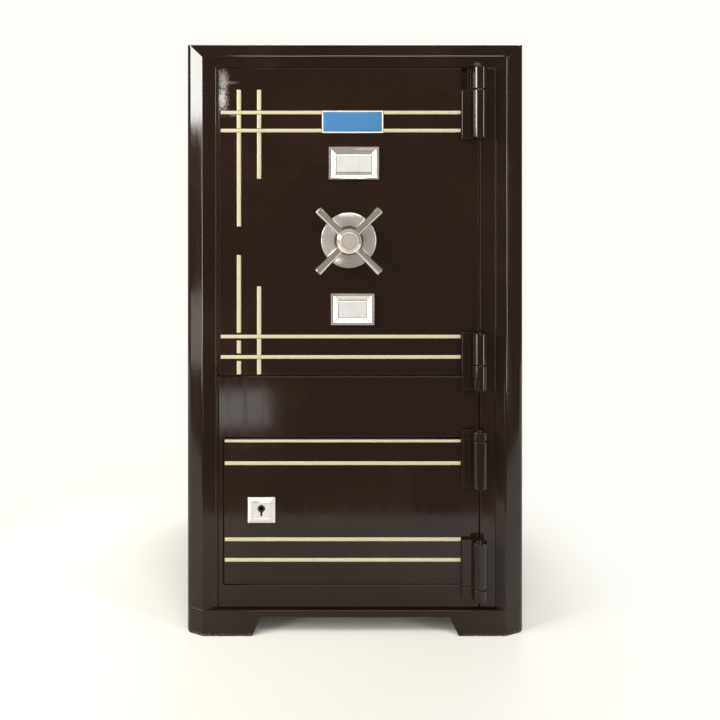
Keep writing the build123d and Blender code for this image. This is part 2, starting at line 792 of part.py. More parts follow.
def lower_door():
    """Lower door: skin, tray, filling, inner cover and lock."""
    skin = door_skin(lower_door_left, lower_door_bottom, lower_door_top)
    x = escutcheon_x
    z = lower_keyhole_z
    nose_radius = nose_bore_radius + nose_wall
    lock_front = plate_back_y + lower_fill_depth
    bore = rod_y(x, z, nose_radius, face_y - over, lock_front + over)
    write("lower_door_plate", skin - bore)
    pan = slab_pan(lower_slab_left, lower_slab_bottom, lower_slab_top, lower_slab_y)
    bolt_low = z - lower_bolt_height / 2
    lower_bolt_y = seat_back_y + lower_bolt_clearance + lower_bolt_thickness / 2
    slot = block(lower_slab_left - over, lower_slab_left + pan_sheet + over,
                 lower_bolt_y - lower_bolt_thickness / 2 - bolt_clearance,
                 lower_bolt_y + lower_bolt_thickness / 2 + bolt_clearance,
                 bolt_low - bolt_clearance, bolt_low + lower_bolt_height + bolt_clearance)
    write("lower_door_pan", pan - slot)
    inner_left = lower_slab_left + pan_sheet
    fill = block(inner_left, slab_right - pan_sheet, plate_back_y, lock_front,
                 lower_slab_bottom + pan_sheet, lower_slab_top - pan_sheet)
    write("lower_door_filling", fill - bore)
    write("lower_inner_cover", cover_sheet(lower_slab_left, lower_slab_bottom, lower_slab_top, lower_slab_y))
    dog_bar("lower_dog_bar", seat_back_y + dog_bar_setback,
            lower_slab_bottom + lower_dog_bar_margin, lower_slab_top - lower_dog_bar_margin)

    case_left = x - lower_lock_width / 2
    case_right = x + lower_lock_width / 2
    case = block(case_left, case_right, lock_front, lock_front + lower_lock_depth,
                 z - lower_lock_height / 2, z + lower_lock_height / 2)
    hollow = block(case_left + lock_wall, case_right - lock_wall, lock_front + lock_wall,
                   lock_front + lower_lock_depth - lock_wall,
                   z - lower_lock_height / 2 + lock_wall, z + lower_lock_height / 2 - lock_wall)
    exit_slot = block(case_left - over, case_left + lock_wall + over,
                      lower_bolt_y - lower_bolt_thickness / 2 - bolt_clearance,
                      lower_bolt_y + lower_bolt_thickness / 2 + bolt_clearance,
                      bolt_low - bolt_clearance, bolt_low + lower_bolt_height + bolt_clearance)
    nose = rod_y(x, z, nose_radius, face_y - escutcheon_rise + nose_sink, lock_front + over)
    nose_bore = rod_y(x, z, nose_bore_radius, face_y - escutcheon_rise - over, lock_front + lock_wall + over)
    write("lower_lock_case", case + nose - hollow - exit_slot - nose_bore)
    tip = lower_slab_left + air
    bolt = block(tip, tip + lower_bolt_length, lower_bolt_y - lower_bolt_thickness / 2,
                 lower_bolt_y + lower_bolt_thickness / 2, bolt_low, bolt_low + lower_bolt_height)
    bolt = chamfer(edges_along(bolt, Axis.Z, x=tip), bolt_nose_bevel)
    write("lower_lock_bolt", bolt)

    base = block(x - escutcheon_width / 2, x + escutcheon_width / 2, face_y - escutcheon_lip, face_y,
                 escutcheon_z - escutcheon_height / 2, escutcheon_z + escutcheon_height / 2)
    low = rectangle_at(x, face_y - escutcheon_lip, escutcheon_z, escutcheon_width, escutcheon_height)
    high = rectangle_at(x, face_y - escutcheon_rise, escutcheon_z,
                        escutcheon_width - 2 * escutcheon_bevel, escutcheon_height - 2 * escutcheon_bevel)
    plate = base + loft([low, high])
    plate = plate - keyhole(x, z, lower_keyhole_radius, lower_keyhole_slot, lower_keyhole_drop,
                            face_y - escutcheon_rise - over, face_y + over)
    write("lower_escutcheon", plate)


# Handle and boltwork

def handle():
    """Dished rose, round hub, four round spokes, cap and spindle."""
    rose_profile = [
        (spindle_radius + spindle_clearance, 0),
        (rose_radius, 0),
        (rose_radius, rose_rim),
        (rose_radius - rose_step, rose_rim + rose_step_rise),
        (rose_crown_radius, rose_dish),
        (spindle_radius + spindle_clearance, rose_dish),
    ]
    rose_face = make_face(Polyline(*[(r, 0, h) for r, h in rose_profile], close=True))
    rose = revolve(rose_face, Axis.Z)
    place = Pos(handle_x, face_y, handle_z) * Rot(90, 0, 0)
    write("handle_rose", place * rose)

    hub_back = rose_dish + air
    hub_profile = [
        (0, hub_back),
        (hub_radius, hub_back),
        (hub_radius, hub_back + hub_length - hub_bevel),
        (hub_face_radius, hub_back + hub_length),
        (0, hub_back + hub_length),
    ]
    hub_face = make_face(Polyline(*[(r, 0, h) for r, h in hub_profile], close=True))
    hub = place * revolve(hub_face, Axis.Z)
    spoke_y = face_y - spoke_standoff
    spokes = []
    for i in range(spoke_count):
        angle = spoke_first_angle + i * 360 / spoke_count
        spoke = Cylinder(spoke_radius, spoke_tip_radius - hub_radius + spoke_sink,
                         align=(Align.CENTER, Align.CENTER, Align.MIN))
        spoke = chamfer(spoke.edges().filter_by(GeomType.CIRCLE).sort_by(Axis.Z)[-1:], spoke_edge)
        spoke = Rot(0, angle, 0) * Pos(0, 0, hub_radius - spoke_sink) * spoke
        spoke = Pos(handle_x, spoke_y, handle_z) * spoke
        spokes.append(spoke)
        hub = hub - spoke
    front_y = face_y - hub_back - hub_length
    write("handle_spokes", *spokes)
    spindle = rod_y(handle_x, handle_z, spindle_radius, face_y - hub_back - spindle_sink, work_back_y - air)
    write("handle_hub", hub - spindle)
    write("handle_spindle", spindle)
    cap = rod_y(handle_x, handle_z, cap_radius, front_y - cap_height, front_y)
    write("handle_cap", fillet(cap.edges().filter_by(GeomType.CIRCLE).sort_by(Axis.Y)[:1], cap_edge))


def involute(base, start, stop, turn, side, steps=5):
    """Points along one flank of a tooth, from radius start to radius stop."""
    points = []
    for i in range(steps + 1):
        radius = start + (stop - start) * i / steps
        roll = sqrt(max((radius / base) ** 2 - 1, 0))
        angle = turn + side * (roll - atan(roll))
        points.append((radius * sin(angle), radius * cos(angle)))
    return points


def pinion():
    """Gear on the spindle, with a tooth space at the top where the rack's tooth sits."""
    alpha = radians(pressure_angle)
    base = pinion_pitch_radius * cos(alpha)
    tip = pinion_pitch_radius + gear_module
    root = pinion_pitch_radius - 1.25 * gear_module
    half_tooth = (pi * gear_module / 2 - tooth_backlash / 2) / (2 * pinion_pitch_radius)
    offset = half_tooth + sqrt((pinion_pitch_radius / base) ** 2 - 1) - atan(
        sqrt((pinion_pitch_radius / base) ** 2 - 1))
    outline = []
    for i in range(pinion_teeth):
        centre = 2 * pi * (i + 0.5) / pinion_teeth
        rising = involute(base, base, tip, centre - offset, 1)
        falling = involute(base, base, tip, centre + offset, -1)
        outline.append((root * sin(centre - offset), root * cos(centre - offset)))
        outline += rising + falling[::-1]
        outline.append((root * sin(centre + offset), root * cos(centre + offset)))
    y0 = bolt_y - pinion_width / 2
    gear = front_prism([(handle_x + x, handle_z + z) for x, z in outline], y0, y0 + pinion_width)
    bore = rod_y(handle_x, handle_z, spindle_radius, y0 - over, y0 + pinion_width + over)
    write("drive_pinion", gear - bore)


def rack_outline():
    """Underside teeth that mesh with the top of the pinion."""
    pitch = pi * gear_module
    line = handle_z + pinion_pitch_radius
    tip = line - gear_module
    root = line + 1.25 * gear_module
    slope = sin(radians(pressure_angle)) / cos(radians(pressure_angle))
    half_tooth = (pitch - tooth_backlash) / 4
    first = int((carrier_right - handle_x) / pitch) + 2
    last = int(rack_right_reach / pitch)
    points = [(carrier_right, root)]
    for i in range(first, last + 1):
        x = handle_x + i * pitch
        points.append((x - half_tooth - slope * (root - line), root))
        points.append((x - half_tooth + slope * (line - tip), tip))
        points.append((x + half_tooth - slope * (line - tip), tip))
        points.append((x + half_tooth + slope * (root - line), root))
    right = handle_x + rack_right_reach
    points.append((right, root))
    points.append((right, root + rack_height))
    points.append((carrier_right, root + rack_height))
    return points


def block_bar(z, notch_side):
    """Bar on the carrier with two notches that a key lock's bolt can enter."""
    right = top_cover_x + block_bar_reach
    y0 = bolt_y - block_bar_thickness / 2
    bar = block(carrier_right - 1, right, y0, y0 + block_bar_thickness,
                z - block_bar_height / 2, z + block_bar_height / 2)
    half = lock_bolt_width / 2 + notch_side_room
    notch_depth = lock_bolt_travel + notch_end_room
    for shift in (0, bolt_throw):
        x = (top_cover_x if notch_side > 0 else bottom_cover_x) + shift
        edge = z + notch_side * block_bar_height / 2
        bar = bar - block(x - half, x + half, y0 - over, y0 + block_bar_thickness + over,
                          edge + notch_side, edge - notch_side * notch_depth)
    return bar


def boltwork():
    """Carrier, rack, round bolts with their nuts, and the guide bar."""
    y0 = bolt_y - carrier_thickness / 2
    low = bolt_first_height - carrier_margin
    high = bolt_last_height + carrier_margin
    bar = block(carrier_left, carrier_right, y0, y0 + carrier_thickness, low, high)
    bar = bar + block_bar(top_bar_z, 1) + block_bar(bottom_bar_z, -1)
    bolts = []
    nuts = []
    for z in bolt_heights:
        body = rod_x(bolt_y, z, bolt_radius, bolt_tip_x, carrier_left)
        body = chamfer(body.edges().filter_by(GeomType.CIRCLE).sort_by(Axis.X)[:1], bolt_nose_bevel)
        shank = rod_x(bolt_y, z, bolt_shank_radius, carrier_left, carrier_right + nut_height + shank_overrun)
        bolts.append(body + shank)
        bar = bar - rod_x(bolt_y, z, bolt_shank_radius, carrier_left - over, carrier_right + over)
        nut = extrude(RegularPolygon(nut_radius, 6), nut_height)
        nut = Pos(carrier_right, bolt_y, z) * Rot(0, 90, 0) * nut
        nuts.append(nut - shank)
    write("bolt_carrier", bar)
    write("locking_bolts", *bolts)
    write("bolt_nuts", *nuts)
    write("bolt_rack", front_prism(rack_outline(), bolt_y - rack_width / 2, bolt_y + rack_width / 2))

    guide = block(guide_bar_left, guide_bar_left + guide_bar_width, work_front_y,
                  bolt_y + bolt_radius + guide_bar_lip, low, high)
    for z in bolt_heights:
        guide = guide - rod_x(bolt_y, z, bolt_radius + bolt_clearance,
                              guide_bar_left - over, guide_bar_left + guide_bar_width + over)
    write("bolt_guide_bar", guide)


def key_lock(name, x, z, way):
    """Lock case on the boltwork plate and the flat bolt that slides out of it."""
    case = block(x - lock_width / 2, x + lock_width / 2, lock_front_y, lock_back_y,
                 z - lock_height / 2, z + lock_height / 2)
    hollow = block(x - lock_width / 2 + lock_wall, x + lock_width / 2 - lock_wall,
                   lock_front_y + lock_wall, lock_back_y - lock_wall,
                   z - lock_height / 2 + lock_wall, z + lock_height / 2 - lock_wall)
    edge = z + way * lock_height / 2
    half = lock_bolt_width / 2
    slot = block(x - half - lock_bolt_clearance, x + half + lock_bolt_clearance,
                 lock_bolt_y - lock_bolt_thickness / 2 - lock_bolt_clearance,
                 lock_bolt_y + lock_bolt_thickness / 2 + lock_bolt_clearance,
                 edge - way * (lock_wall + over), edge + way)
    entry = keyhole(x, z, keyhole_radius, keyhole_slot, keyhole_drop,
                    lock_front_y - over, lock_front_y + lock_wall + over)
    write(f"{name}_lock_case", case - hollow - slot - entry)
    tip = edge + way * lock_bolt_rest
    bolt = block(x - half, x + half, lock_bolt_y - lock_bolt_thickness / 2,
                 lock_bolt_y + lock_bolt_thickness / 2, tip, tip - way * lock_bolt_length)
    write(f"{name}_lock_bolt", bolt)


# Front fittings

def cover_frame(name, x, z, width, height):
    """Mitred picture-frame moulding round a key cover."""
    front = face_y - cover_frame_rise
    outer_low = rectangle_at(x, face_y, z, width, height)
    inset = 2 * cover_outer_bevel
    outer_high = rectangle_at(x, front, z, width - inset, height - inset)
    body = loft([outer_low, outer_high])
    rim = 2 * (cover_outer_bevel + cover_frame_rim)
    inner_width = width - 2 * cover_frame_width
    inner_height = height - 2 * cover_frame_width
    mouth = rectangle_at(x, front, z, width - rim, height - rim)
    seat = rectangle_at(x, face_y - flap_thickness, z, inner_width, inner_height)
    body = body - loft([mouth, seat])
    body = body - block(x - inner_width / 2, x + inner_width / 2, face_y - flap_thickness, face_y + over,
                        z - inner_height / 2, z + inner_height / 2)
    axis_z = z + inner_height / 2 - flap_thickness / 2 - flap_clearance
    pin_y = face_y - flap_thickness / 2 - flap_pin_lift
    reach = inner_width / 2 + flap_pin_reach
    body = body - rod_x(pin_y, axis_z, flap_pin_radius + pin_clearance, x - reach, x + reach)
    write(f"{name}_cover_frame", body)

    half_flap = inner_width / 2 - flap_clearance
    low = z - inner_height / 2 + flap_clearance
    panel = block(x - half_flap, x + half_flap, pin_y - flap_thickness / 2, pin_y + flap_thickness / 2,
                  low, axis_z)
    flap = panel + rod_x(pin_y, axis_z, flap_thickness / 2, x - half_flap, x + half_flap)
    flap = flap + rod_x(pin_y, axis_z, flap_pin_radius,
                        x - reach + flap_pin_end_gap, x + reach - flap_pin_end_gap)
    write(f"{name}_key_cover", flap)


def name_plate():
    """Blank enamel plate with a pale rim."""
    x = name_plate_x
    z = name_plate_z
    half_w = name_plate_width / 2
    half_h = name_plate_height / 2
    rim_block = block(x - half_w, x + half_w, face_y - name_plate_rise, face_y, z - half_h, z + half_h)
    inner = (x - half_w + name_border, x + half_w - name_border)
    inner_z = (z - half_h + name_border, z + half_h - name_border)
    field = block(*inner, face_y - name_field_rise, face_y, *inner_z)
    opening = block(*inner, face_y - name_plate_rise - over, face_y + over, *inner_z)
    write("name_plate_rim", rim_block - opening)
    write("name_plate", field)


def bead_level(z, x0, x1, width):
    """Level strip with a rounded front."""
    half = width / 2
    strip = block(x0, x1, face_y - trim_rise, face_y, z - half, z + half)
    rounded = edges_along(strip, Axis.X, y=face_y - trim_rise)
    return fillet(rounded, trim_edge_radius)


def bead_upright(x, z0, z1):
    """Upright strip with a rounded front."""
    half = trim_width_upright / 2
    strip = block(x - half, x + half, face_y - trim_rise, face_y, z0, z1)
    rounded = edges_along(strip, Axis.Z, y=face_y - trim_rise)
    return fillet(rounded, trim_edge_radius)


def cut_runs(low, high, crossings, gap):
    """Stretches of an upright strip left between the level strips that cross it."""
    runs = []
    start = low
    for z in sorted(crossings):
        if low < z < high:
            half = trim_width_level / 2 + gap
            if z - half > start:
                runs.append((start, z - half))
            start = z + half
    runs.append((start, high))
    return runs


def trim():
    """Pale strips on both doors."""
    beads = []
    plate_left = name_plate_x - name_plate_width / 2 - air
    plate_right = name_plate_x + name_plate_width / 2 + air
    for z in upper_trim_heights[:2]:
        beads.append(bead_level(z, upper_trim_left, plate_left, trim_width_level))
        beads.append(bead_level(z, plate_right, trim_right, trim_width_level))
    for z in upper_trim_heights[2:]:
        beads.append(bead_level(z, upper_trim_left, trim_right, trim_width_level))
    uprights = (
        (trim_upright_left_x, trim_upright_left_middle[0], trim_upright_top, trim_crossing_gap),
        (trim_upright_right_x, trim_upright_right_middle[0], trim_upright_top, trim_crossing_gap),
        (trim_upright_left_x, trim_upright_bottom, trim_upright_left_middle[1], trim_wide_gap),
        (trim_upright_right_x, trim_upright_bottom, trim_upright_right_middle[1], trim_crossing_gap),
    )
    for x, low, high, gap in uprights:
        for z0, z1 in cut_runs(low, high, upper_trim_heights, gap):
            beads.append(bead_upright(x, z0, z1))
    write("upper_door_trim", *beads)
    widths = [trim_thin_width] + [trim_width_level] * (len(lower_trim_heights) - 1)
    lower = [bead_level(z, lower_trim_left, trim_right, w) for z, w in zip(lower_trim_heights, widths)]
    write("lower_door_trim", *lower)


front_mouldings()
casing()
filling()
liner("upper_liner", upper_floor, cavity_top)
liner("lower_liner", lower_floor, lower_ceiling)
door_seat("upper_door_seat", seat_split_height, case_height - flange_width,
          upper_slab_left - seat_clearance_lock_side,
          upper_slab_bottom - seat_clearance, upper_slab_top + seat_clearance)
door_seat("lower_door_seat", plinth_height + base_plate_thickness, seat_split_height,
          lower_slab_left - seat_clearance_lock_side,
          lower_slab_bottom - seat_clearance, lower_slab_top + seat_clearance)
front_plates()
plinth()
shelf()
hinges()
upper_door()
lower_door()
handle()
pinion()
boltwork()
key_lock("top", top_cover_x, top_cover_z, -1)
key_lock("bottom", bottom_cover_x, bottom_cover_z, 1)
cover_frame("top", top_cover_x, top_cover_z, top_cover_width, top_cover_height)
cover_frame("bottom", bottom_cover_x, bottom_cover_z, bottom_cover_width, bottom_cover_height)
name_plate()
trim()
print("hinge axis", round(hinge_x, 2), round(hinge_y, 2), "bolt throw", round(bolt_throw, 3))
print("front planes: crest", crest_y, "face", face_y, "back", back_y)
print("travels: lower bolt", lower_bolt_throw, "key lock bolts", lock_bolt_travel)
print("key cover pins at y", round(face_y - flap_thickness / 2 - flap_pin_lift, 2))
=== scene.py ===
# Looks of the steel safe. Metres, +Z up, the front faces -Y.
import json
import math
import bmesh
import bpy
import numpy as np
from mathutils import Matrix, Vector

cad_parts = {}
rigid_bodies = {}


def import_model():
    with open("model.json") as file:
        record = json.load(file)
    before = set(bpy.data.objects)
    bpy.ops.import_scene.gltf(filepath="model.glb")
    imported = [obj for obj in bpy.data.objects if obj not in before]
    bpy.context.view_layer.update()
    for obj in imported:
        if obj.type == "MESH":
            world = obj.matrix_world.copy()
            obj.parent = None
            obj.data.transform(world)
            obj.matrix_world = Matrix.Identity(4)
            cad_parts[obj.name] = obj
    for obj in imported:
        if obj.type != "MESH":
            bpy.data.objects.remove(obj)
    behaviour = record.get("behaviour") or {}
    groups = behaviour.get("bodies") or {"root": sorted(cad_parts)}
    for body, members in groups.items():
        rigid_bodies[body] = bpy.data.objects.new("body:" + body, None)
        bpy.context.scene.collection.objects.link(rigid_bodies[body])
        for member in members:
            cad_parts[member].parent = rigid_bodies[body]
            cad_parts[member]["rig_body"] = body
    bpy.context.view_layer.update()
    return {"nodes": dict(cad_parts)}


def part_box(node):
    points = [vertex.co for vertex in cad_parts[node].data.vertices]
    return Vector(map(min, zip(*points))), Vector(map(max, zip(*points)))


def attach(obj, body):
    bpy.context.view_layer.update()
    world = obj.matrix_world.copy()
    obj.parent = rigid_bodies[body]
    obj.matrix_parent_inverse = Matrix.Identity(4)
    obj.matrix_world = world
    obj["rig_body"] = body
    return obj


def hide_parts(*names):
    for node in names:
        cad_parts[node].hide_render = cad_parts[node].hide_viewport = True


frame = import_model()
nodes = frame["nodes"]
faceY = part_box("upper_door_plate")[0].y  # outer face of the doors
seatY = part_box("upper_door_seat")[0].y  # front of the seat behind them
print("frame loaded,", len(nodes), "nodes")

cameraSettings = {
    "place": (-0.04695, -1.9582, 0.9013),
    "film": 36.0,  # width in millimetres
    "lens": 39.05,
    "shift": (0.0375, -0.2125),  # only what the framing of the photograph needs
}

studio = {
    "world": (0.23, 0.205, 0.178),
    "floorColour": (0.88, 0.87, 0.83),
    "floorRough": 0.6,
    "floorFront": -0.95,
    "floorBack": 1.75,
    "floorHalf": 3.2,
    "sweepRadius": 0.9,
    "wallTop": 3.4,
    "sweepSteps": 24,
    "columns": 9,
    "paper": (0.99, 0.98, 0.93),
    "fade": (0.42, 0.82),  # the floor turns to plain paper over this distance from the safe
    "fadePlace": (0.19, 0.0, 0.0),
    "fadeStretch": (0.9, 0.75, 1.0),
}

lampColour = (1.0, 0.985, 0.96)
lamps = {
    # name: place, target, width, height, watts
    "leftBox": ((-1.70, -1.05, 1.49), (-0.33, -0.31, 1.07), 0.62, 0.50, 23.0),
    "leftLow": ((-1.72, -1.08, 0.40), (-0.33, -0.31, 0.5), 0.50, 0.30, 1.1),
    "leftStrip": ((-1.885, -1.678, 0.87), (-0.3, -0.3, 0.87), 0.42, 1.68, 27.0),
    "rightStrip": ((1.885, -1.678, 0.87), (0.3, -0.3, 0.87), 0.34, 1.68, 20.0),
    "topFront": ((0.15, -2.1, 2.75), (0.0, -0.3, 0.6), 1.4, 0.9, 31.0),
    "lowGlow": ((-0.42, -1.75, 0.10), (-0.2, -0.3, 0.45), 0.25, 0.14, 0.3),
    "backTop": ((0.2, 1.35, 2.6), (0.0, 0.3, 0.3), 1.8, 1.0, 52.0),
}


def addObject(name, data):
    piece = bpy.data.objects.new(name, data)
    bpy.context.scene.collection.objects.link(piece)
    return piece


def placeCamera():
    data = bpy.data.cameras.new("camera")
    data.sensor_width = cameraSettings["film"]
    data.lens = cameraSettings["lens"]
    data.shift_x, data.shift_y = cameraSettings["shift"]
    camera = addObject("camera", data)
    camera.location = cameraSettings["place"]
    camera.rotation_euler = (math.radians(90), 0, 0)
    bpy.context.scene.camera = camera


def placeLamps():
    for name, (place, target, width, height, watts) in lamps.items():
        data = bpy.data.lights.new(name, "AREA")
        data.shape = "RECTANGLE"
        data.size, data.size_y = width, height
        data.energy = watts
        data.color = lampColour
        lamp = addObject(name, data)
        lamp.location = place
        lamp.rotation_mode = "QUATERNION"
        lamp.rotation_quaternion = (Vector(target) - Vector(place)).to_track_quat("-Z", "Y")


def fillSockets(tree, node, sockets):
    # each socket gets a value or a link
    for name, value in sockets.items():
        if isinstance(value, bpy.types.NodeSocket):
            tree.links.new(value, node.inputs[name])
        else:
            node.inputs[name].default_value = value


def put(tree, kind, sockets=None, **settings):
    # one node with its settings and sockets
    node = tree.nodes.new(kind)
    for name, value in settings.items():
        setattr(node, name, value)
    fillSockets(tree, node, sockets or {})
    return node


def calc(tree, operation, first, second=0.0, clamp=False):
    return put(tree, "ShaderNodeMath", {0: first, 1: second}, operation=operation, use_clamp=clamp).outputs[0]


def addShare(tree, value, mask, share, clamp=False):
    # value + mask * share
    return calc(tree, "ADD", value, calc(tree, "MULTIPLY", mask, share), clamp=clamp)


def between(tree, value, low, high, start=0.0, stop=1.0):
    # smooth step: start where the value is at low, stop where it is at high
    sockets = {"Value": value, "From Min": low, "From Max": high, "To Min": start, "To Max": stop}
    return put(tree, "ShaderNodeMapRange", sockets, interpolation_type="SMOOTHSTEP").outputs["Result"]


def blendColours(tree, share, first, second):
    return put(tree, "ShaderNodeMix", {0: share, 6: first, 7: second}, data_type="RGBA").outputs[2]


def noise(tree, point, scale, detail=2.0, rough=0.5, twist=0.0, output="Fac"):
    sockets = {"Vector": point, "Scale": scale, "Detail": detail, "Roughness": rough, "Distortion": twist}
    return put(tree, "ShaderNodeTexNoise", sockets).outputs[output]


def stretch(tree, point, scale=(1, 1, 1), place=(0, 0, 0), turn=0.0):
    # scaled and moved, and turned about Y by an angle in radians
    sockets = {"Vector": point, "Scale": scale, "Location": place, "Rotation": (0, turn, 0)}
    return put(tree, "ShaderNodeMapping", sockets).outputs["Vector"]


def vectorMath(tree, operation, first, second=(0, 0, 0)):
    return put(tree, "ShaderNodeVectorMath", {0: first, 1: second}, operation=operation).outputs


def objectPoint(tree):
    return put(tree, "ShaderNodeTexCoord").outputs["Object"]


def bump(tree, height, distance, under=None):
    # tilts the normal by a height map; under is the normal that it starts from
    sockets = {"Height": height, "Strength": 1.0, "Distance": distance}
    if under is not None:
        sockets["Normal"] = under
    return put(tree, "ShaderNodeBump", sockets).outputs[0]


def newMaterial(name):
    material = bpy.data.materials.new(name)
    material.use_nodes = True
    material.node_tree.nodes.clear()
    return material, material.node_tree


def close(tree, shader):
    put(tree, "ShaderNodeOutputMaterial", {"Surface": shader})


def coat(tree, colour, rough, normal, metal=0.0, index=1.5):
    sockets = {"Base Color": colour, "Roughness": rough, "Normal": normal, "Metallic": metal, "IOR": index}
    close(tree, put(tree, "ShaderNodeBsdfPrincipled", sockets).outputs[0])


def makePaper():
    # floor and wall: matt near the safe, and plain paper to the camera and to mirrors further out
    s = studio
    material, tree = newMaterial("palePaper")
    away = stretch(tree, objectPoint(tree), s["fadeStretch"], s["fadePlace"])
    far = vectorMath(tree, "LENGTH", away)["Value"]
    path = put(tree, "ShaderNodeLightPath").outputs
    seen = calc(tree, "MAXIMUM", path["Is Camera Ray"], path["Is Glossy Ray"])
    seen = calc(tree, "MAXIMUM", seen, path["Is Transmission Ray"])
    share = calc(tree, "MULTIPLY", between(tree, far, *s["fade"]), seen)
    matt = put(tree, "ShaderNodeBsdfDiffuse", {"Color": (*s["floorColour"], 1.0), "Roughness": s["floorRough"]})
    lit = put(tree, "ShaderNodeEmission", {"Color": (*s["paper"], 1.0), "Strength": 1.0})
    close(tree, put(tree, "ShaderNodeMixShader", {0: share, 1: matt.outputs[0], 2: lit.outputs[0]}).outputs[0])
    return material


def makeStudio():
    # floor that rises into a wall: a straight line, a quarter circle and a straight line up, carried across
    s = studio
    angles = np.linspace(0, np.pi / 2, s["sweepSteps"])
    wallY = s["floorBack"] + s["sweepRadius"]
    y = np.concatenate([[s["floorFront"]], s["floorBack"] + s["sweepRadius"] * np.sin(angles), [wallY]])
    z = np.concatenate([[0.0], s["sweepRadius"] * (1 - np.cos(angles)), [s["wallTop"]]])
    x = np.linspace(-s["floorHalf"], s["floorHalf"], s["columns"])
    points = np.stack([np.repeat(x, len(y)), np.tile(y, len(x)), np.tile(z, len(x))], axis=1)
    columns, rows = np.meshgrid(np.arange(len(x) - 1), np.arange(len(y) - 1), indexing="ij")
    first = (columns * len(y) + rows).ravel()
    faces = np.stack([first, first + len(y), first + len(y) + 1, first + 1], axis=1)
    mesh = bpy.data.meshes.new("paperSweep")
    mesh.from_pydata(points.tolist(), [], faces.tolist())
    mesh.polygons.foreach_set("use_smooth", np.ones(len(faces), dtype=bool))
    mesh.materials.append(makePaper())
    addObject("paperSweep", mesh)

    world = bpy.data.worlds.new("studio")
    world.use_nodes = True
    world.node_tree.nodes["Background"].inputs["Color"].default_value = (*s["world"], 1.0)
    bpy.context.scene.world = world


bpy.context.scene.view_settings.view_transform = "Standard"
placeCamera()
placeLamps()
makeStudio()
print("studio ready")


# surface effects that several finishes share, each a node group

number, vector = "NodeSocketFloat", "NodeSocketVector"


def newGroup(name, inputs, outputs):
    tree = bpy.data.node_groups.new(name, "ShaderNodeTree")
    for label, kind, value in inputs:
        socket = tree.interface.new_socket(label, in_out="INPUT", socket_type=kind)
        socket.default_value = value
    for label, kind in outputs:
        tree.interface.new_socket(label, in_out="OUTPUT", socket_type=kind)
    return tree, tree.nodes.new("NodeGroupInput").outputs, tree.nodes.new("NodeGroupOutput")


def useGroup(tree, group, sockets):
    node = put(tree, "ShaderNodeGroup", node_tree=group)
    fillSockets(tree, node, sockets)
    return node.outputs


brushSettings = {
    "waveSize": 3.0,
    "strokeSize": 60.0,
    "peelSize": 420.0,
    "drawnOut": (1.0, 1.0, 0.045),  # strokes run along Z
    "wander": (0.006, 0.006, 0.0),
    "wanderSize": 7.0,
    "patchSize": 5.5,
    "patches": (0.42, 0.68),
}


def makeBrushMarks():
    # brushed enamel: long waves of the plate, strokes drawn out along the brush, and fine orange peel
    s = brushSettings
    tree, given, out = newGroup(
        "brushMarks",
        [("Point", vector, (0, 0, 0)), ("Wave Size", number, s["waveSize"]),
         ("Stroke Size", number, s["strokeSize"]), ("Peel Size", number, s["peelSize"])],
        [("Waves", number), ("Strokes", number), ("Peel", number), ("Patches", number)],
    )
    point = given["Point"]
    wander = noise(tree, point, s["wanderSize"], detail=1.0, output="Color")
    shift = vectorMath(tree, "MULTIPLY", wander, s["wander"])[0]
    path = vectorMath(tree, "ADD", stretch(tree, point, s["drawnOut"]), shift)[0]
    patches = noise(tree, point, s["patchSize"], detail=4.0, rough=0.6, twist=0.6)
    fillSockets(tree, out, {
        "Waves": noise(tree, point, given["Wave Size"], rough=0.45, twist=0.3),
        "Strokes": noise(tree, path, given["Stroke Size"], detail=3.0, rough=0.6),
        "Peel": noise(tree, point, given["Peel Size"], detail=1.0, rough=0.4),
        "Patches": between(tree, patches, *s["patches"]),
    })
    return tree


edgeSettings = {
    "samples": 6,
    "lean": (0.995, 0.86),  # cosines at which an edge begins and is full
    "worn": (0.93, 1.02),
    "breakSize": 90.0,
}


def makeSoftEdges():
    # rounded-over edge: the normal that a small bevel would have, how far it leans, and where it is worn
    s = edgeSettings
    tree, given, out = newGroup(
        "softEdges",
        [("Radius", number, 0.001), ("Break Size", number, s["breakSize"]), ("Amount", number, 0.5)],
        [("Normal", vector), ("Edge", number), ("Worn", number)],
    )
    rounded = put(tree, "ShaderNodeBevel", {"Radius": given["Radius"]}, samples=s["samples"]).outputs[0]
    flat = put(tree, "ShaderNodeNewGeometry").outputs["Normal"]
    edge = between(tree, vectorMath(tree, "DOT_PRODUCT", rounded, flat)["Value"], *s["lean"])
    rag = noise(tree, objectPoint(tree), given["Break Size"], detail=5.0, rough=0.65)
    broken = between(tree, calc(tree, "ADD", rag, given["Amount"]), *s["worn"])
    fillSockets(tree, out, {"Normal": rounded, "Edge": edge, "Worn": calc(tree, "MULTIPLY", edge, broken)})
    return tree


scratchSettings = {
    "size": 900.0,
    "lines": (((1.0, 1.0, 0.04), 0.5), ((0.05, 1.0, 1.0), -0.35)),  # stretch and turn of both sets of lines
    "smearSize": 45.0,
    "smears": (0.4, 0.7),
}


def makeFineScratches():
    # polishing lines in two directions, and larger dull smears
    s = scratchSettings
    tree, given, out = newGroup(
        "fineScratches",
        [("Point", vector, (0, 0, 0)), ("Scale", number, s["size"])],
        [("Lines", number), ("Smears", number)],
    )
    first, second = (noise(tree, stretch(tree, given["Point"], scale, turn=turn), given["Scale"], rough=0.6)
                     for scale, turn in s["lines"])
    smears = noise(tree, given["Point"], s["smearSize"], detail=4.0, rough=0.6, twist=0.5)
    fillSockets(tree, out, {"Lines": calc(tree, "MULTIPLY", first, second),
                            "Smears": between(tree, smears, *s["smears"])})
    return tree


grimeSettings = {"size": 14.0, "amount": 0.5, "spots": (0.45, 0.75)}


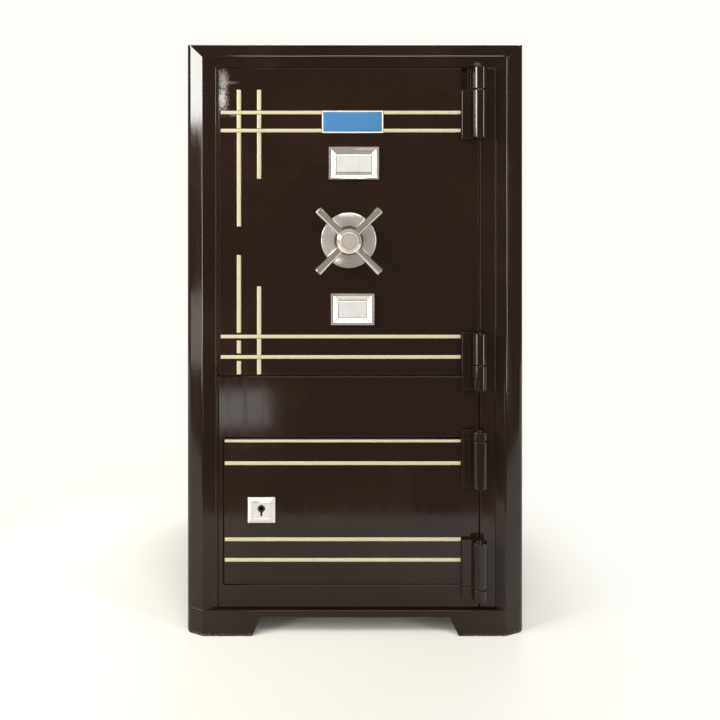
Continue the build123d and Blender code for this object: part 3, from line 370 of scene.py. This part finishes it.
def makeGrime():
    # thin film that gathers in soft spots
    s = grimeSettings
    tree, given, out = newGroup(
        "grime",
        [("Point", vector, (0, 0, 0)), ("Size", number, s["size"]), ("Amount", number, s["amount"])],
        [("Mask", number)],
    )
    broad = noise(tree, given["Point"], given["Size"], detail=5.0, rough=0.65, twist=0.4)
    fillSockets(tree, out, {"Mask": calc(tree, "MULTIPLY", between(tree, broad, *s["spots"]), given["Amount"])})
    return tree


brushMarks = makeBrushMarks()
softEdges = makeSoftEdges()
fineScratches = makeFineScratches()
grime = makeGrime()


def filmOn(tree, here, settings):
    sockets = {"Point": here, "Size": settings["filmSize"], "Amount": settings["filmAmount"]}
    return useGroup(tree, grime, sockets)["Mask"]


def opaque(tint, share=1.0):
    return (*[v * share for v in tint], 1.0)


def frontOf(name):
    # a node as seen from the front: its middle, half its width and half its height
    low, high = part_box(name)
    return (low.x + high.x) / 2, (low.z + high.z) / 2, (high.x - low.x) / 2, (high.z - low.z) / 2


handleAxis = frontOf("handle_hub")[:2]

enamel = {
    "deep": (0.0138, 0.0060, 0.0034, 1.0),
    "warm": (0.0200, 0.0096, 0.0057, 1.0),
    # edge: colour of the painted highlight along the edges, a sheen that stands for light caught on the rounded edges
    "edge": (0.150, 0.122, 0.100, 1.0),
    "chip": (0.26, 0.22, 0.18, 1.0),
    "chips": 0.22,
    "strokes": (0.35, 0.7),  # strokes between these values take the roughness from smooth to dull
    "rough": (0.07, 0.13),
    "edgeRadius": 0.0016,
    "paintedSheenShare": 0.45,
    "wornRough": 0.4,
    "waveHeight": 0.0011,
    "strokeHeight": 0.00003,
    "peelHeight": 0.000012,
    "filmSize": 11.0,
    "filmAmount": 0.6,
    "filmRough": 0.07,
    "index": 1.46,
}

footSettings = {
    "chips": 0.42,
    "wear": 0.85,
    "reach": (0.0075, 0.0015),  # heights at which the wear ends and is full
    "specks": (0.53, 0.60),
    "speckSize": 210.0,
    "speckStretch": (1.0, 1.0, 1.6),
}

# painted highlight on the upper door: pale ovals that stand in for the reflection of the lamp on the left
paintedHighlightSettings = {
    "colour": (0.62, 0.58, 0.54, 1.0),
    "edge": (1.15, 0.1),
    "ragged": 3.2,
    "dabSize": 620.0,
    "dabStretch": (1.0, 1.0, 0.35),
    "dabTurn": 0.5,
    "rough": 0.3,
    "ovals": (
        # middle, half axes, strength
        ((-0.2800, -0.309, 1.130), (0.0120, 0.02, 0.030), 0.80),
        ((-0.2790, -0.309, 1.168), (0.012, 0.02, 0.026), 0.42),
        ((-0.2640, -0.309, 1.1640), (0.018, 0.02, 0.0035), 0.20),
        ((-0.2570, -0.309, 1.0960), (0.014, 0.02, 0.0050), 0.22),
    ),
}


def wearFoot(tree, here, colour, rough):
    # bare specks where the feet stand
    s = footSettings
    height = put(tree, "ShaderNodeSeparateXYZ", {0: here}).outputs["Z"]
    dots = noise(tree, stretch(tree, here, s["speckStretch"]), s["speckSize"], detail=5.0, rough=0.75)
    bare = calc(tree, "MULTIPLY", between(tree, height, *s["reach"]), between(tree, dots, *s["specks"]))
    bare = calc(tree, "MULTIPLY", bare, s["wear"])
    return (blendColours(tree, bare, colour, enamel["chip"]),
            addShare(tree, rough, bare, enamel["wornRough"], clamp=True))


def addPaintedHighlight(tree, here, colour, rough, middle, spread, strength):
    # painted highlight: the reflection of the lamp on the left, painted as a pale soft oval with ragged ends drawn
    # along the strokes
    s = paintedHighlightSettings
    scale = tuple(1 / v for v in spread)
    away = vectorMath(tree, "LENGTH", stretch(tree, here, scale, tuple(-p / v for p, v in zip(middle, spread))))
    dabs = noise(tree, stretch(tree, here, s["dabStretch"], turn=s["dabTurn"]), s["dabSize"], detail=4.0, rough=0.7)
    ragged = addShare(tree, away["Value"], calc(tree, "SUBTRACT", dabs, 0.5), s["ragged"])
    share = calc(tree, "MULTIPLY", between(tree, ragged, *s["edge"]), strength)
    return blendColours(tree, share, colour, s["colour"]), addShare(tree, rough, share, s["rough"], clamp=True)


def makeEnamel(name, upright=True, chips=enamel["chips"], paintedHighlights=(), onFoot=False):
    # brown enamel brushed upright or level, with a painted highlight along its edges, chipped on them, and any
    # painted highlight ovals it is given
    s = enamel
    material, tree = newMaterial(name)
    here = objectPoint(tree)
    marks = useGroup(tree, brushMarks, {"Point": here if upright else stretch(tree, here, turn=math.radians(90))})
    edges = useGroup(tree, softEdges, {"Radius": s["edgeRadius"], "Amount": chips})
    film = filmOn(tree, here, s)
    colour = blendColours(tree, marks["Patches"], s["deep"], s["warm"])
    colour = blendColours(tree, film, colour, s["deep"])
    # painted highlight: the edges turn paler by the painted sheen share
    colour = blendColours(tree, calc(tree, "MULTIPLY", edges["Edge"], s["paintedSheenShare"]), colour, s["edge"])
    colour = blendColours(tree, edges["Worn"], colour, s["chip"])
    rough = between(tree, marks["Strokes"], *s["strokes"], *s["rough"])
    rough = addShare(tree, rough, film, s["filmRough"])
    rough = addShare(tree, rough, edges["Worn"], s["wornRough"], clamp=True)
    if onFoot:
        colour, rough = wearFoot(tree, here, colour, rough)
    # painted highlight ovals laid over the colour
    for highlightOval in paintedHighlights:
        colour, rough = addPaintedHighlight(tree, here, colour, rough, *highlightOval)
    swell = bump(tree, marks["Waves"], s["waveHeight"])
    lines = bump(tree, marks["Strokes"], s["strokeHeight"], swell)
    coat(tree, colour, rough, bump(tree, marks["Peel"], s["peelHeight"], lines), index=s["index"])
    return material


plated = {
    "worn": (0.62, 0.52, 0.36, 1.0),
    "dull": 0.84,
    "edgeRadius": 0.0006,
    "breakSize": 160.0,
    "chips": -0.02,
    "scratchHeight": 0.000004,
    "filmSize": 70.0,
    "filmAmount": 0.4,
}


def makePlated(name, tint, rough, smearRough, metal):
    # polished plate: fine scratches, dull smears and yellowed edges
    s = plated
    material, tree = newMaterial(name)
    here = objectPoint(tree)
    lines = useGroup(tree, fineScratches, {"Point": here})
    edges = useGroup(tree, softEdges, {"Radius": s["edgeRadius"], "Amount": s["chips"], "Break Size": s["breakSize"]})
    colour = blendColours(tree, filmOn(tree, here, s), opaque(tint), opaque(tint, s["dull"]))
    colour = blendColours(tree, edges["Worn"], colour, s["worn"])
    rough = addShare(tree, rough, lines["Smears"], smearRough)
    coat(tree, colour, rough, bump(tree, lines["Lines"], s["scratchHeight"]), metal=metal)
    return material


def fromAxis(tree, here):
    # distance from the handle's axis, and the same as a point, in which a noise makes rings
    flat = stretch(tree, here, (1.0, 0.0, 1.0), (-handleAxis[0], 0.0, -handleAxis[1]))
    out = vectorMath(tree, "LENGTH", flat)["Value"]
    return out, put(tree, "ShaderNodeCombineXYZ", {"X": out}).outputs[0]


spun = {
    "tint": (0.90, 0.87, 0.83),
    "dull": 0.8,
    "rough": 0.18,
    "metal": 0.74,
    "cutSize": 2600.0,
    "cutHeight": 0.00004,
    "bandTone": (0.50, 0.47, 0.43, 1.0),
    "bandSize": 240.0,
    "bands": (0.4, 0.65),
    "bandShare": 0.3,
    # painted shade: a darker ring on the rose where the hub would shade it
    "paintedShadeTone": (0.23, 0.20, 0.17, 1.0),
    "shade": (0.0335, 0.0285),  # radii at which the darker ring round the hub begins and is full
    "filmSize": 60.0,
    "filmAmount": 0.35,
    "filmRough": 0.15,
}


def makeSpun(name):
    # spun plate: fine grooves in circles round the handle's axis, and a ring of painted shade close to the hub
    s = spun
    material, tree = newMaterial(name)
    here = objectPoint(tree)
    out, rings = fromAxis(tree, here)
    film = filmOn(tree, here, s)
    bands = between(tree, noise(tree, rings, s["bandSize"], rough=0.6), *s["bands"])
    colour = blendColours(tree, film, opaque(s["tint"]), opaque(s["tint"], s["dull"]))
    colour = blendColours(tree, calc(tree, "MULTIPLY", bands, s["bandShare"]), colour, s["bandTone"])
    colour = blendColours(tree, between(tree, out, *s["shade"]), colour, s["paintedShadeTone"])
    cuts = noise(tree, rings, s["cutSize"], detail=3.0, rough=0.7)
    rough = addShare(tree, s["rough"], film, s["filmRough"])
    coat(tree, colour, rough, bump(tree, cuts, s["cutHeight"]), metal=s["metal"])
    return material


turned = {
    "tint": (0.56, 0.49, 0.42),
    "dull": 0.85,
    "rough": 0.28,
    "metal": 0.3,
    "bands": (
        # inner radius, outer radius, tone
        (0.0150, 0.0163, (0.10, 0.085, 0.07, 1.0)),
        # painted highlight: a pale band on the rounded rim
        (0.0163, 0.030, (0.80, 0.77, 0.72, 1.0)),
    ),
    "bandEdge": 0.0004,
    "cutSize": 2600.0,
    "cutHeight": 0.000006,
    "filmSize": 60.0,
    "filmAmount": 0.3,
}


def makeTurned(name):
    # turned disc: a plain face and bands of other tones from one radius to the next, round the handle's axis; the
    # pale band is a painted highlight on the rounded rim
    s = turned
    material, tree = newMaterial(name)
    here = objectPoint(tree)
    out, rings = fromAxis(tree, here)
    colour = blendColours(tree, filmOn(tree, here, s), opaque(s["tint"]), opaque(s["tint"], s["dull"]))
    for inner, outer, tone in s["bands"]:
        inside = calc(tree, "MULTIPLY", between(tree, out, inner, inner + s["bandEdge"]),
                      between(tree, out, outer, outer - s["bandEdge"]))
        colour = blendColours(tree, inside, colour, tone)
    cuts = noise(tree, rings, s["cutSize"], rough=0.6)
    coat(tree, colour, s["rough"], bump(tree, cuts, s["cutHeight"]), metal=s["metal"])
    return material


lapDepth = 0.0004


def lapOver(tree, here, colour):
    # dark enamel on faces level with the seat's front, which the door notches leave in view
    depth = put(tree, "ShaderNodeSeparateXYZ", {0: here}).outputs["Y"]
    return blendColours(tree, between(tree, depth, seatY + lapDepth, seatY), colour, enamel["deep"])


paint = {
    "chip": (0.10, 0.07, 0.05, 1.0),
    "chips": 0.2,
    "breakSize": 220.0,
    "edgeRadius": 0.0008,
    "strokeSize": 160.0,
    "strokeHeight": 0.00003,
    "patchRough": 0.12,
    "filmSize": 38.0,
    "filmAmount": 0.45,
}


def makePaint(name, tint, dark, rough, chip=paint["chip"], lapped=False):
    # brushed-on paint: colour drifts between two tones, with chips on its edges
    s = paint
    material, tree = newMaterial(name)
    here = objectPoint(tree)
    marks = useGroup(tree, brushMarks, {"Point": here, "Stroke Size": s["strokeSize"]})
    edges = useGroup(tree, softEdges, {"Radius": s["edgeRadius"], "Amount": s["chips"], "Break Size": s["breakSize"]})
    colour = blendColours(tree, filmOn(tree, here, s), opaque(tint), opaque(dark))
    colour = blendColours(tree, edges["Worn"], colour, chip)
    if lapped:
        colour = lapOver(tree, here, colour)
    rough = addShare(tree, rough, marks["Patches"], s["patchRough"])
    coat(tree, colour, rough, bump(tree, marks["Strokes"], s["strokeHeight"], edges["Normal"]))
    return material


steel = {
    "cutSize": 1400.0,
    "cutStretch": (1.0, 1.0, 0.03),
    "cutHeight": 0.00001,
    "edgeRadius": 0.0005,
    "chips": 0.1,
    "stain": (0.55, 0.5, 0.42),
    "filmSize": 32.0,
    "filmAmount": 0.7,
    "filmRough": 0.18,
}


def makeSteel(name, tint, rough):
    # machined metal: long tool marks and a light oil stain
    s = steel
    material, tree = newMaterial(name)
    here = objectPoint(tree)
    cuts = noise(tree, stretch(tree, here, s["cutStretch"]), s["cutSize"])
    edges = useGroup(tree, softEdges, {"Radius": s["edgeRadius"], "Amount": s["chips"]})
    film = filmOn(tree, here, s)
    stained = [v * share for v, share in zip(tint, s["stain"])]
    colour = blendColours(tree, film, opaque(tint), opaque(stained))
    rough = addShare(tree, rough, film, s["filmRough"])
    coat(tree, colour, rough, bump(tree, cuts, s["cutHeight"], edges["Normal"]), metal=1.0)
    return material


filling = {
    "dark": (0.40, 0.385, 0.35, 1.0),
    "pale": (0.60, 0.58, 0.53, 1.0),
    "pit": (0.26, 0.25, 0.23, 1.0),
    "grainSize": 260.0,
    "pitSize": 110.0,
    "pits": (0.12, 0.3),
    "height": 0.0005,
    "rough": 0.92,
}


def makeFilling(name):
    # poured mineral filling: fine grains and a few voids; the enamel laps over what shows in front
    s = filling
    material, tree = newMaterial(name)
    here = objectPoint(tree)
    grains = noise(tree, here, s["grainSize"], detail=4.0, rough=0.7)
    voids = put(tree, "ShaderNodeTexVoronoi", {"Vector": here, "Scale": s["pitSize"]}).outputs["Distance"]
    solid = between(tree, voids, *s["pits"])
    colour = blendColours(tree, grains, s["dark"], s["pale"])
    colour = lapOver(tree, here, blendColours(tree, solid, s["pit"], colour))
    coat(tree, colour, s["rough"], bump(tree, calc(tree, "MULTIPLY", solid, grains), s["height"]))
    return material


# finishes of the CAD slots: tint, second tint of a paint, roughness
finishes = {
    "brown_enamel": makeEnamel("brownEnamel"),
    "plated_trim": makePlated("nickelPlate", (0.90, 0.86, 0.81), 0.09, smearRough=0.05, metal=0.93),
    "plated_mirror": makePlated("mirrorPlate", (0.93, 0.94, 0.93), 0.34, smearRough=0.08, metal=0.45),
    "cream_enamel": makePaint("creamEnamel", (0.62, 0.565, 0.375), (0.50, 0.44, 0.26), 0.22),
    "blue_enamel": makePaint("blueEnamel", (0.064, 0.222, 0.455), (0.058, 0.20, 0.42), 0.14,
                             chip=(0.5, 0.6, 0.66, 1.0)),
    "pale_rim": makePaint("paleRim", (0.78, 0.80, 0.76), (0.60, 0.60, 0.52), 0.2, chip=(0.35, 0.3, 0.24, 1.0)),
    "grey_paint": makePaint("greyPaint", (0.27, 0.28, 0.27), (0.19, 0.19, 0.175), 0.42,
                            chip=(0.42, 0.4, 0.37, 1.0), lapped=True),
    "bright_steel": makeSteel("machinedSteel", (0.60, 0.59, 0.57), 0.26),
    "brass": makeSteel("wornBrass", (0.62, 0.44, 0.17), 0.28),
    "filling": makeFilling("pouredFilling"),
}

# finishes of single pieces, in place of their slot's
framePlate = makePlated("framePlate", (0.90, 0.86, 0.79), 0.09, smearRough=0.04, metal=0.8)
footEnamel = makeEnamel("footEnamel", upright=False, chips=footSettings["chips"], onFoot=True)
ownFinish = {
    # the door's enamel carries the painted highlight ovals
    "upper_door_plate": makeEnamel("doorEnamel", paintedHighlights=paintedHighlightSettings["ovals"]),
    "plinth_front": footEnamel,
    "plinth_sides": footEnamel,
    "plinth_back": footEnamel,
    "handle_rose": makeSpun("spunPlate"),
    "handle_hub": makePlated("hubPlate", (0.88, 0.83, 0.77), 0.14, smearRough=0.06, metal=0.72),
    "handle_cap": makeTurned("capPlate"),
    "lower_escutcheon": makePlated("escutcheonPlate", (0.92, 0.90, 0.86), 0.22, smearRough=0.06, metal=0.5),
    "lower_lock_case": makeSteel("darkSteel", (0.11, 0.10, 0.095), 0.38),
}
print("finishes ready")

slotNames = {}


def dressNodes():
    for name, piece in nodes.items():
        for slot in piece.material_slots:
            slotNames[name] = slot.material.name.split(".")[0]
            slot.material = ownFinish.get(name) or finishes[slotNames[name]]


dressNodes()
print("nodes dressed")

# edges rolled over as the enamel and the plating leave them
easing = {
    # node: radius, steps
    "upper_door_plate": (0.0030, 4),
    "lower_door_plate": (0.0028, 4),
    "hinge_stile": (0.0020, 3),
    "lower_front_plate": (0.0022, 3),
    "plinth_sides": (0.0014, 2),
    "casing_shell": (0.0012, 2),
    "lower_escutcheon": (0.0007, 3),
    "handle_hub": (0.0010, 3),
    "handle_rose": (0.0006, 2),
}
easeSettings = {"merge": 0.00002, "flat": 0.4, "sharp": 12}  # angles in degrees


def ease(name, radius, steps):
    # a merged copy of the node's mesh, flat faces joined, its sharp edges rolled over
    s = easeSettings
    source = nodes[name]
    mesh = source.data.copy()
    mesh.name = name + "Eased"
    shape = bmesh.new()
    shape.from_mesh(mesh)
    bmesh.ops.remove_doubles(shape, verts=shape.verts, dist=s["merge"])
    bmesh.ops.dissolve_limit(shape, angle_limit=math.radians(s["flat"]), verts=shape.verts, edges=shape.edges)
    weight = shape.edges.layers.float.new("bevel_weight_edge")
    for edge in shape.edges:
        keen = len(edge.link_faces) == 2 and edge.calc_face_angle(0.0) > math.radians(s["sharp"])
        edge.smooth = not keen
        edge[weight] = float(keen)
    shape.to_mesh(mesh)
    shape.free()
    if mesh.has_custom_normals:
        mesh.attributes.remove(mesh.attributes["custom_normal"])
    mesh.polygons.foreach_set("use_smooth", np.ones(len(mesh.polygons), dtype=bool))
    piece = addObject(name + ".eased", mesh)
    roll = piece.modifiers.new("roll", "BEVEL")
    roll.limit_method = "WEIGHT"
    roll.width = radius
    roll.segments = steps
    roll.use_clamp_overlap = True
    roll.harden_normals = True
    roll.miter_outer = "MITER_ARC"
    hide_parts(name)
    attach(piece, source["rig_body"])


for easedName, (rollRadius, rollSteps) in easing.items():
    ease(easedName, rollRadius, rollSteps)
print("edges eased on", len(easing), "pieces")

gridSettings = {"merge": 0.000005, "sharp": 35}  # angle in degrees


def grid(name, points, body, finish, capEnds=False):
    # a surface from rows of points: points[i, j] is row i along the piece and column j round its section,
    # which closes on itself; several such grids may be stacked, and capEnds closes both ends of a single one
    points = points.reshape(-1, *points.shape[-3:])
    count, rows, columns = points.shape[:3]
    n, i, j = np.meshgrid(np.arange(count), np.arange(rows - 1), np.arange(columns), indexing="ij")
    k = (j + 1) % columns
    near = (n * rows + i) * columns
    far = near + columns
    faces = np.stack([near + j, near + k, far + k, far + j], axis=-1).reshape(-1, 4).tolist()
    if capEnds:
        end = np.arange(columns)
        faces += [end[::-1].tolist(), ((rows - 1) * columns + end).tolist()]
    mesh = bpy.data.meshes.new(name)
    mesh.from_pydata(points.reshape(-1, 3).tolist(), [], faces)
    shape = bmesh.new()
    shape.from_mesh(mesh)
    bmesh.ops.remove_doubles(shape, verts=shape.verts, dist=gridSettings["merge"])
    bmesh.ops.recalc_face_normals(shape, faces=shape.faces)
    sharp = math.radians(gridSettings["sharp"])
    for edge in shape.edges:
        edge.smooth = not (len(edge.link_faces) == 2 and edge.calc_face_angle(0.0) > sharp)
    shape.to_mesh(mesh)
    shape.free()
    mesh.polygons.foreach_set("use_smooth", np.ones(len(mesh.polygons), dtype=bool))
    mesh.materials.append(finish)
    piece = addObject(name, mesh)
    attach(piece, body)
    return piece


def roundedRings(front, corner, insets, depths, steps):
    # rings of a rectangle with round corners: each ring is moved inward by its inset, which its corner
    # radius loses, and is set at its depth; one step and no radius give square corners
    centreX, centreZ, halfW, halfH = front
    insets, depths = np.asarray(insets)[:, None], np.asarray(depths)[:, None]
    turns = np.concatenate([np.linspace(q * np.pi / 2, (q + 1) * np.pi / 2, steps) for q in range(4)])
    signX, signZ = np.repeat([1, -1, -1, 1], steps), np.repeat([1, 1, -1, -1], steps)
    bend = np.maximum(corner - insets, 0.0)
    x = centreX + signX * (halfW - insets - bend) + bend * np.cos(turns)
    z = centreZ + signZ * (halfH - insets - bend) + bend * np.sin(turns)
    return np.stack(np.broadcast_arrays(x, depths, z), axis=-1)


def wavering(place, waves):
    # sum of sines along a place: height times the sine of pace times place plus start
    return sum(height * np.sin(place * pace + start) for height, pace, start in waves)


spokeSettings = {
    "hubRadius": 0.0225,
    "tip": 0.0912,
    "rootRadius": 0.0076,
    "tipRadius": 0.0087,
    "edge": 0.0012,
    "coreRadius": 0.003,
    "standoff": 0.034,
    "turns": (45, 135, 225, 315),
    "around": 48,
    "rows": 24,
    "edgeSteps": 7,
}


def makeSpokes():
    # round bars that swell slightly to the tip: radius grows with the square of the distance from the hub,
    # then the end rolls over on a quarter circle into a flat face
    s = spokeSettings
    share = np.linspace(0, 1, s["rows"])
    roll = np.linspace(0, np.pi / 2, s["edgeSteps"])[1:]
    body = s["rootRadius"] + (s["tipRadius"] - s["rootRadius"]) * share ** 2
    along = s["hubRadius"] + (s["tip"] - s["edge"] - s["hubRadius"]) * share
    along = np.concatenate([along, s["tip"] - s["edge"] + s["edge"] * np.sin(roll), [s["tip"], s["tip"]]])
    radius = np.concatenate([body, s["tipRadius"] - s["edge"] * (1 - np.cos(roll)), [s["coreRadius"], 0.0]])
    turns = np.radians(s["turns"])
    flat = np.zeros_like(turns)
    way = np.stack([np.sin(turns), flat, np.cos(turns)], axis=1)[:, None, None]
    side = np.stack([np.cos(turns), flat, -np.sin(turns)], axis=1)[:, None, None]
    ring = np.linspace(0, 2 * np.pi, s["around"], endpoint=False)[:, None]
    section = np.cos(ring) * side + np.sin(ring) * np.array([0.0, 1.0, 0.0])
    centre = np.array([handleAxis[0], faceY - s["standoff"], handleAxis[1]])
    points = centre + along[:, None, None] * way + radius[:, None, None] * section
    spokes = grid("handleSpokes", points, "handle", finishes["plated_trim"])
    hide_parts("handle_spokes")


plateSettings = {
    "border": 0.0031,
    "sink": 0.0007,
    "crown": 0.0004,
    "corner": 0.0016,
    "cornerSteps": 6,
    "fieldSteps": 12,
    "outerRoll": ((0.0, 0.0008), (0.0003, 0.0002), (0.0008, 0.0)),  # distance from the rim's edge, and drop
    "innerRoll": ((0.0010, 0.0), (0.0004, 0.0003)),
    "slit": 0.0002,
}


def makeNamePlate():
    # enamel plate: a narrow rolled rim, then a field that is slightly crowned towards its middle
    s = plateSettings
    border = s["border"]
    front = frontOf("name_plate_rim")
    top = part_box("name_plate_rim")[0].y
    profile = np.array([*s["outerRoll"], *[(border - inset, drop) for inset, drop in s["innerRoll"]],
                        (border, s["sink"])])
    insets, depths = [0.0, *profile[:, 0]], [faceY, *(top + profile[:, 1])]
    rings = roundedRings(front, s["corner"], insets, depths, s["cornerSteps"])
    rim = grid("namePlateRim", rings, "upper_door", finishes["pale_rim"])
    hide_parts("name_plate_rim")
    share = np.linspace(0, 1, s["fieldSteps"])
    insets = border + share * (front[3] - border - s["slit"])
    depths = top + s["sink"] - s["crown"] * (1 - (1 - share) ** 2)
    rings = roundedRings(front, s["corner"], insets, depths, s["cornerSteps"])
    field = grid("namePlateField", rings, "upper_door", finishes["blue_enamel"], capEnds=True)
    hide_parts("name_plate")


coverSettings = {
    "edge": 0.0005,
    "rim": 0.0019,
    "rimRoll": (0.0003, 0.0002),  # width and drop
    "border": 0.0135,
    "foot": 0.0020,
    "swell": 0.0002,
    "shelf": 0.0150,
    "shelfStep": (0.0002, 0.0008),
    "slopeSteps": 7,
}


def makeCoverFrame(name):
    # mitred frame: a thin edge, then one wide slope that swells a little and falls towards the flap, then a
    # narrow shelf; each corner is cut square, so the four bars meet in straight lines
    s = coverSettings
    low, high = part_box(name)
    share = np.linspace(0, 1, s["slopeSteps"])
    slope = s["rim"] + (s["border"] - s["rim"]) * share
    fall = low.y + s["rimRoll"][1] + (faceY - s["foot"] - low.y) * share - s["swell"] * np.sin(np.pi * share)
    shelfY = fall[-1] + s["shelfStep"][1]
    insets = [0.0, 0.0, s["edge"], s["rim"] - s["rimRoll"][0], *slope, s["border"] + s["shelfStep"][0],
              s["shelf"], s["shelf"]]
    depths = [high.y, low.y + s["edge"], low.y, low.y, *fall, shelfY, shelfY, high.y]
    rings = roundedRings(frontOf(name), 0.0, insets, depths, 1)
    piece = grid(name.replace("_frame", "Frame"), np.concatenate([rings, rings[:1]]), nodes[name]["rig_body"],
                 framePlate)
    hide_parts(name)


mouldingSettings = {
    "left": {
        "inset": 0.037, "slope": 0.0245, "bevelDrop": 0.018, "bevelRadius": 0.0178,
        "knee": (0.0, 0.0), "lip": 0.0055, "lipRadius": 0.0014, "crestSpread": 0.009,
    },
    "top": {
        "inset": 0.028, "slope": 0.021, "bevelDrop": 0.014, "bevelRadius": 0.005,
        "knee": (0.0011, 0.0004), "lip": 0.0, "lipRadius": 0.0009, "crestSpread": 0.008,
    },
    "right": {
        "inset": 0.041, "slope": 0.019, "bevelDrop": 0.018, "bevelRadius": 0.0178,
        "knee": (0.0011, 0.0004), "lip": 0.0, "lipRadius": 0.0009, "crestSpread": 0.009,
    },
    "crestRadius": 0.0070,
    "cornerRadius": 0.0035,
    "flange": 0.013,
    "headroom": 0.075,  # how far below the top edge the upright bars end
    "rows": 48,
    "steps": 7,
    "waves": ((0.0005, 11.0, 0.0), (0.0003, 29.0, 1.3)),
    "topWaves": ((0.0003, 17.0, 0.0),),
    "rightShare": 1.2,
}


def roundOff(before, corner, after, radius, steps):
    # a corner of a profile as a quadratic curve between the two points where a circle would touch its sides
    before, corner, after = (np.array(v, dtype=float) for v in (before, corner, after))
    one, two = before - corner, after - corner
    one, two = one / np.linalg.norm(one), two / np.linalg.norm(two)
    turn = np.pi - np.arccos(np.clip(one @ two, -1, 1))
    reach = radius * np.tan(turn / 2)
    t = np.linspace(0, 1, steps)[:, None]
    return (1 - t) ** 2 * (corner + one * reach) + 2 * t * (1 - t) * corner + t ** 2 * (corner + two * reach)


def mouldingProfile(side):
    # inset from the outer edge and depth y, from the flange round the bevel, crest, slope and lip, and back,
    # and how near each point is to the crest, where the bar wavers
    s, steps = mouldingSettings[side], mouldingSettings["steps"]
    low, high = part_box("left_front_moulding")
    start, end = (0.0, high.y), s["inset"] + s["slope"] + s["lip"]
    bevel = (0.0, low.y + s["bevelDrop"])
    crest = (s["inset"], low.y)
    knee = (s["inset"] + s["slope"] - s["knee"][0], faceY - s["knee"][1])
    lip, back = (end, faceY), (end, seatY)
    points = np.concatenate([
        [start],
        roundOff(start, bevel, crest, s["bevelRadius"], steps + 2),
        roundOff(bevel, crest, knee, mouldingSettings["crestRadius"], steps),
        [knee],
        roundOff(knee, lip, back, s["lipRadius"], steps),
        [back, (mouldingSettings["flange"], seatY), (mouldingSettings["flange"], high.y)],
    ])
    insets, depths = points.T
    return insets, depths, np.exp(-((insets - s["inset"]) / s["crestSpread"]) ** 2)


def rowsOf(x, y, z):
    return np.stack(np.broadcast_arrays(x, y, z), axis=-1)


def makeMoulding():
    # the profile carried up the left side, across the top and down the right side; at each corner it turns
    # on a small circle while its insets and depths change from one side's to the next
    s = mouldingSettings
    low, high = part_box("left_front_moulding")[0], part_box("right_front_moulding")[1]
    left, right, bottom, top = low.x, high.x, low.z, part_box("top_front_moulding")[1].z
    (leftIn, leftY, leftCrest), (topIn, topY, topCrest), (rightIn, rightY, rightCrest) = (
        mouldingProfile(side) for side in ("left", "top", "right"))
    climb = np.linspace(bottom, top - s["headroom"], s["rows"])[:, None]
    sway = wavering(climb, s["waves"]) * np.sin(np.pi * (climb - bottom) / (top - bottom))
    radius = s["cornerRadius"]
    turn = np.linspace(0, np.pi / 2, s["steps"])[:, None]
    outward, upward = radius * (1 - np.cos(turn)), radius * (1 - np.sin(turn))
    share = turn / (np.pi / 2)
    across = np.linspace(0, 1, s["rows"] // 2)[1:-1, None]
    swayTop = wavering(across, s["topWaves"]) * np.sin(np.pi * across)
    startX, endX = left + leftIn + radius, right - rightIn - radius
    points = np.concatenate([
        rowsOf(left + leftIn + sway * leftCrest, leftY, climb),
        rowsOf(left + leftIn + outward, leftY * (1 - share) + topY * share, top - topIn - upward),
        rowsOf(startX + (endX - startX) * across, topY, top - topIn + swayTop * topCrest),
        rowsOf(right - rightIn - upward, topY * (1 - share) + rightY * share, top - topIn - outward),
        rowsOf(right - rightIn + s["rightShare"] * sway[::-1] * rightCrest, rightY, climb[::-1]),
    ])
    piece = grid("frontMoulding", points, "cabinet", finishes["brown_enamel"], capEnds=True)
    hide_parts("left_front_moulding", "top_front_moulding", "right_front_moulding")


beadSettings = {
    "gap": 0.0018,  # between the door and the jamb
    "lip": 0.0024,
    "setIn": 0.0031,
    "margin": 0.0002,
    "rise": 0.0009,
    "sink": 0.0004,
    "foot": 0.0015,
    "steps": 14,
    "rows": 60,
    "waves": ((0.00006, 37.0, 0.0), (0.00004, 91.0, 1.0)),
}


def makeJambBead():
    # soft bead on the jamb lip beside the doors: a shallow curve, highest in its middle by the square of the
    # distance from it, carried up the left side with a slight waver
    s = beadSettings
    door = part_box("upper_door_plate")
    start = door[0].x - s["gap"] - s["lip"] - s["setIn"] + s["margin"]
    width = s["lip"] - 2 * s["margin"]
    share = np.linspace(-1, 1, s["steps"])
    arch = 1 - share ** 2
    bottom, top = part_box("lower_front_plate")[0].z + s["foot"], door[1].z + s["gap"] - s["margin"]
    z = np.linspace(bottom, top, s["rows"])[:, None]
    x = start + (share + 1) / 2 * width
    y = faceY - s["rise"] * arch + wavering(z, s["waves"]) * arch
    buried = np.full_like(z, faceY + s["sink"])
    points = rowsOf(np.array([start, *x, start + width]), np.hstack([buried, y, buried]), z)
    grid("jambBead", points, "cabinet", finishes["brown_enamel"], capEnds=True)


stepSettings = {
    "setIn": 0.0084,
    "width": 0.0021,
    "rise": 0.0006,
    "sink": 0.0001,
    "corner": 0.0008,
    "steps": 8,
    "cornerSteps": 4,
}


def makeEscutcheonStep():
    # square bead that frames the middle of the escutcheon: a low arch, half a sine, carried round four sides
    s = stepSettings
    share = np.linspace(0, 1, s["steps"])
    insets = s["setIn"] + s["width"] * share
    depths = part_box("lower_escutcheon")[0].y + s["sink"] - s["rise"] * np.sin(np.pi * share)
    rings = roundedRings(frontOf("lower_escutcheon"), s["setIn"] + s["corner"], insets, depths, s["cornerSteps"])
    grid("escutcheonStep", np.concatenate([rings, rings[:1]]), "lower_door", framePlate)


makeSpokes()
makeNamePlate()
for coverName in ("top_cover_frame", "bottom_cover_frame"):
    makeCoverFrame(coverName)
makeMoulding()
makeJambBead()
makeEscutcheonStep()
print("grid pieces made")
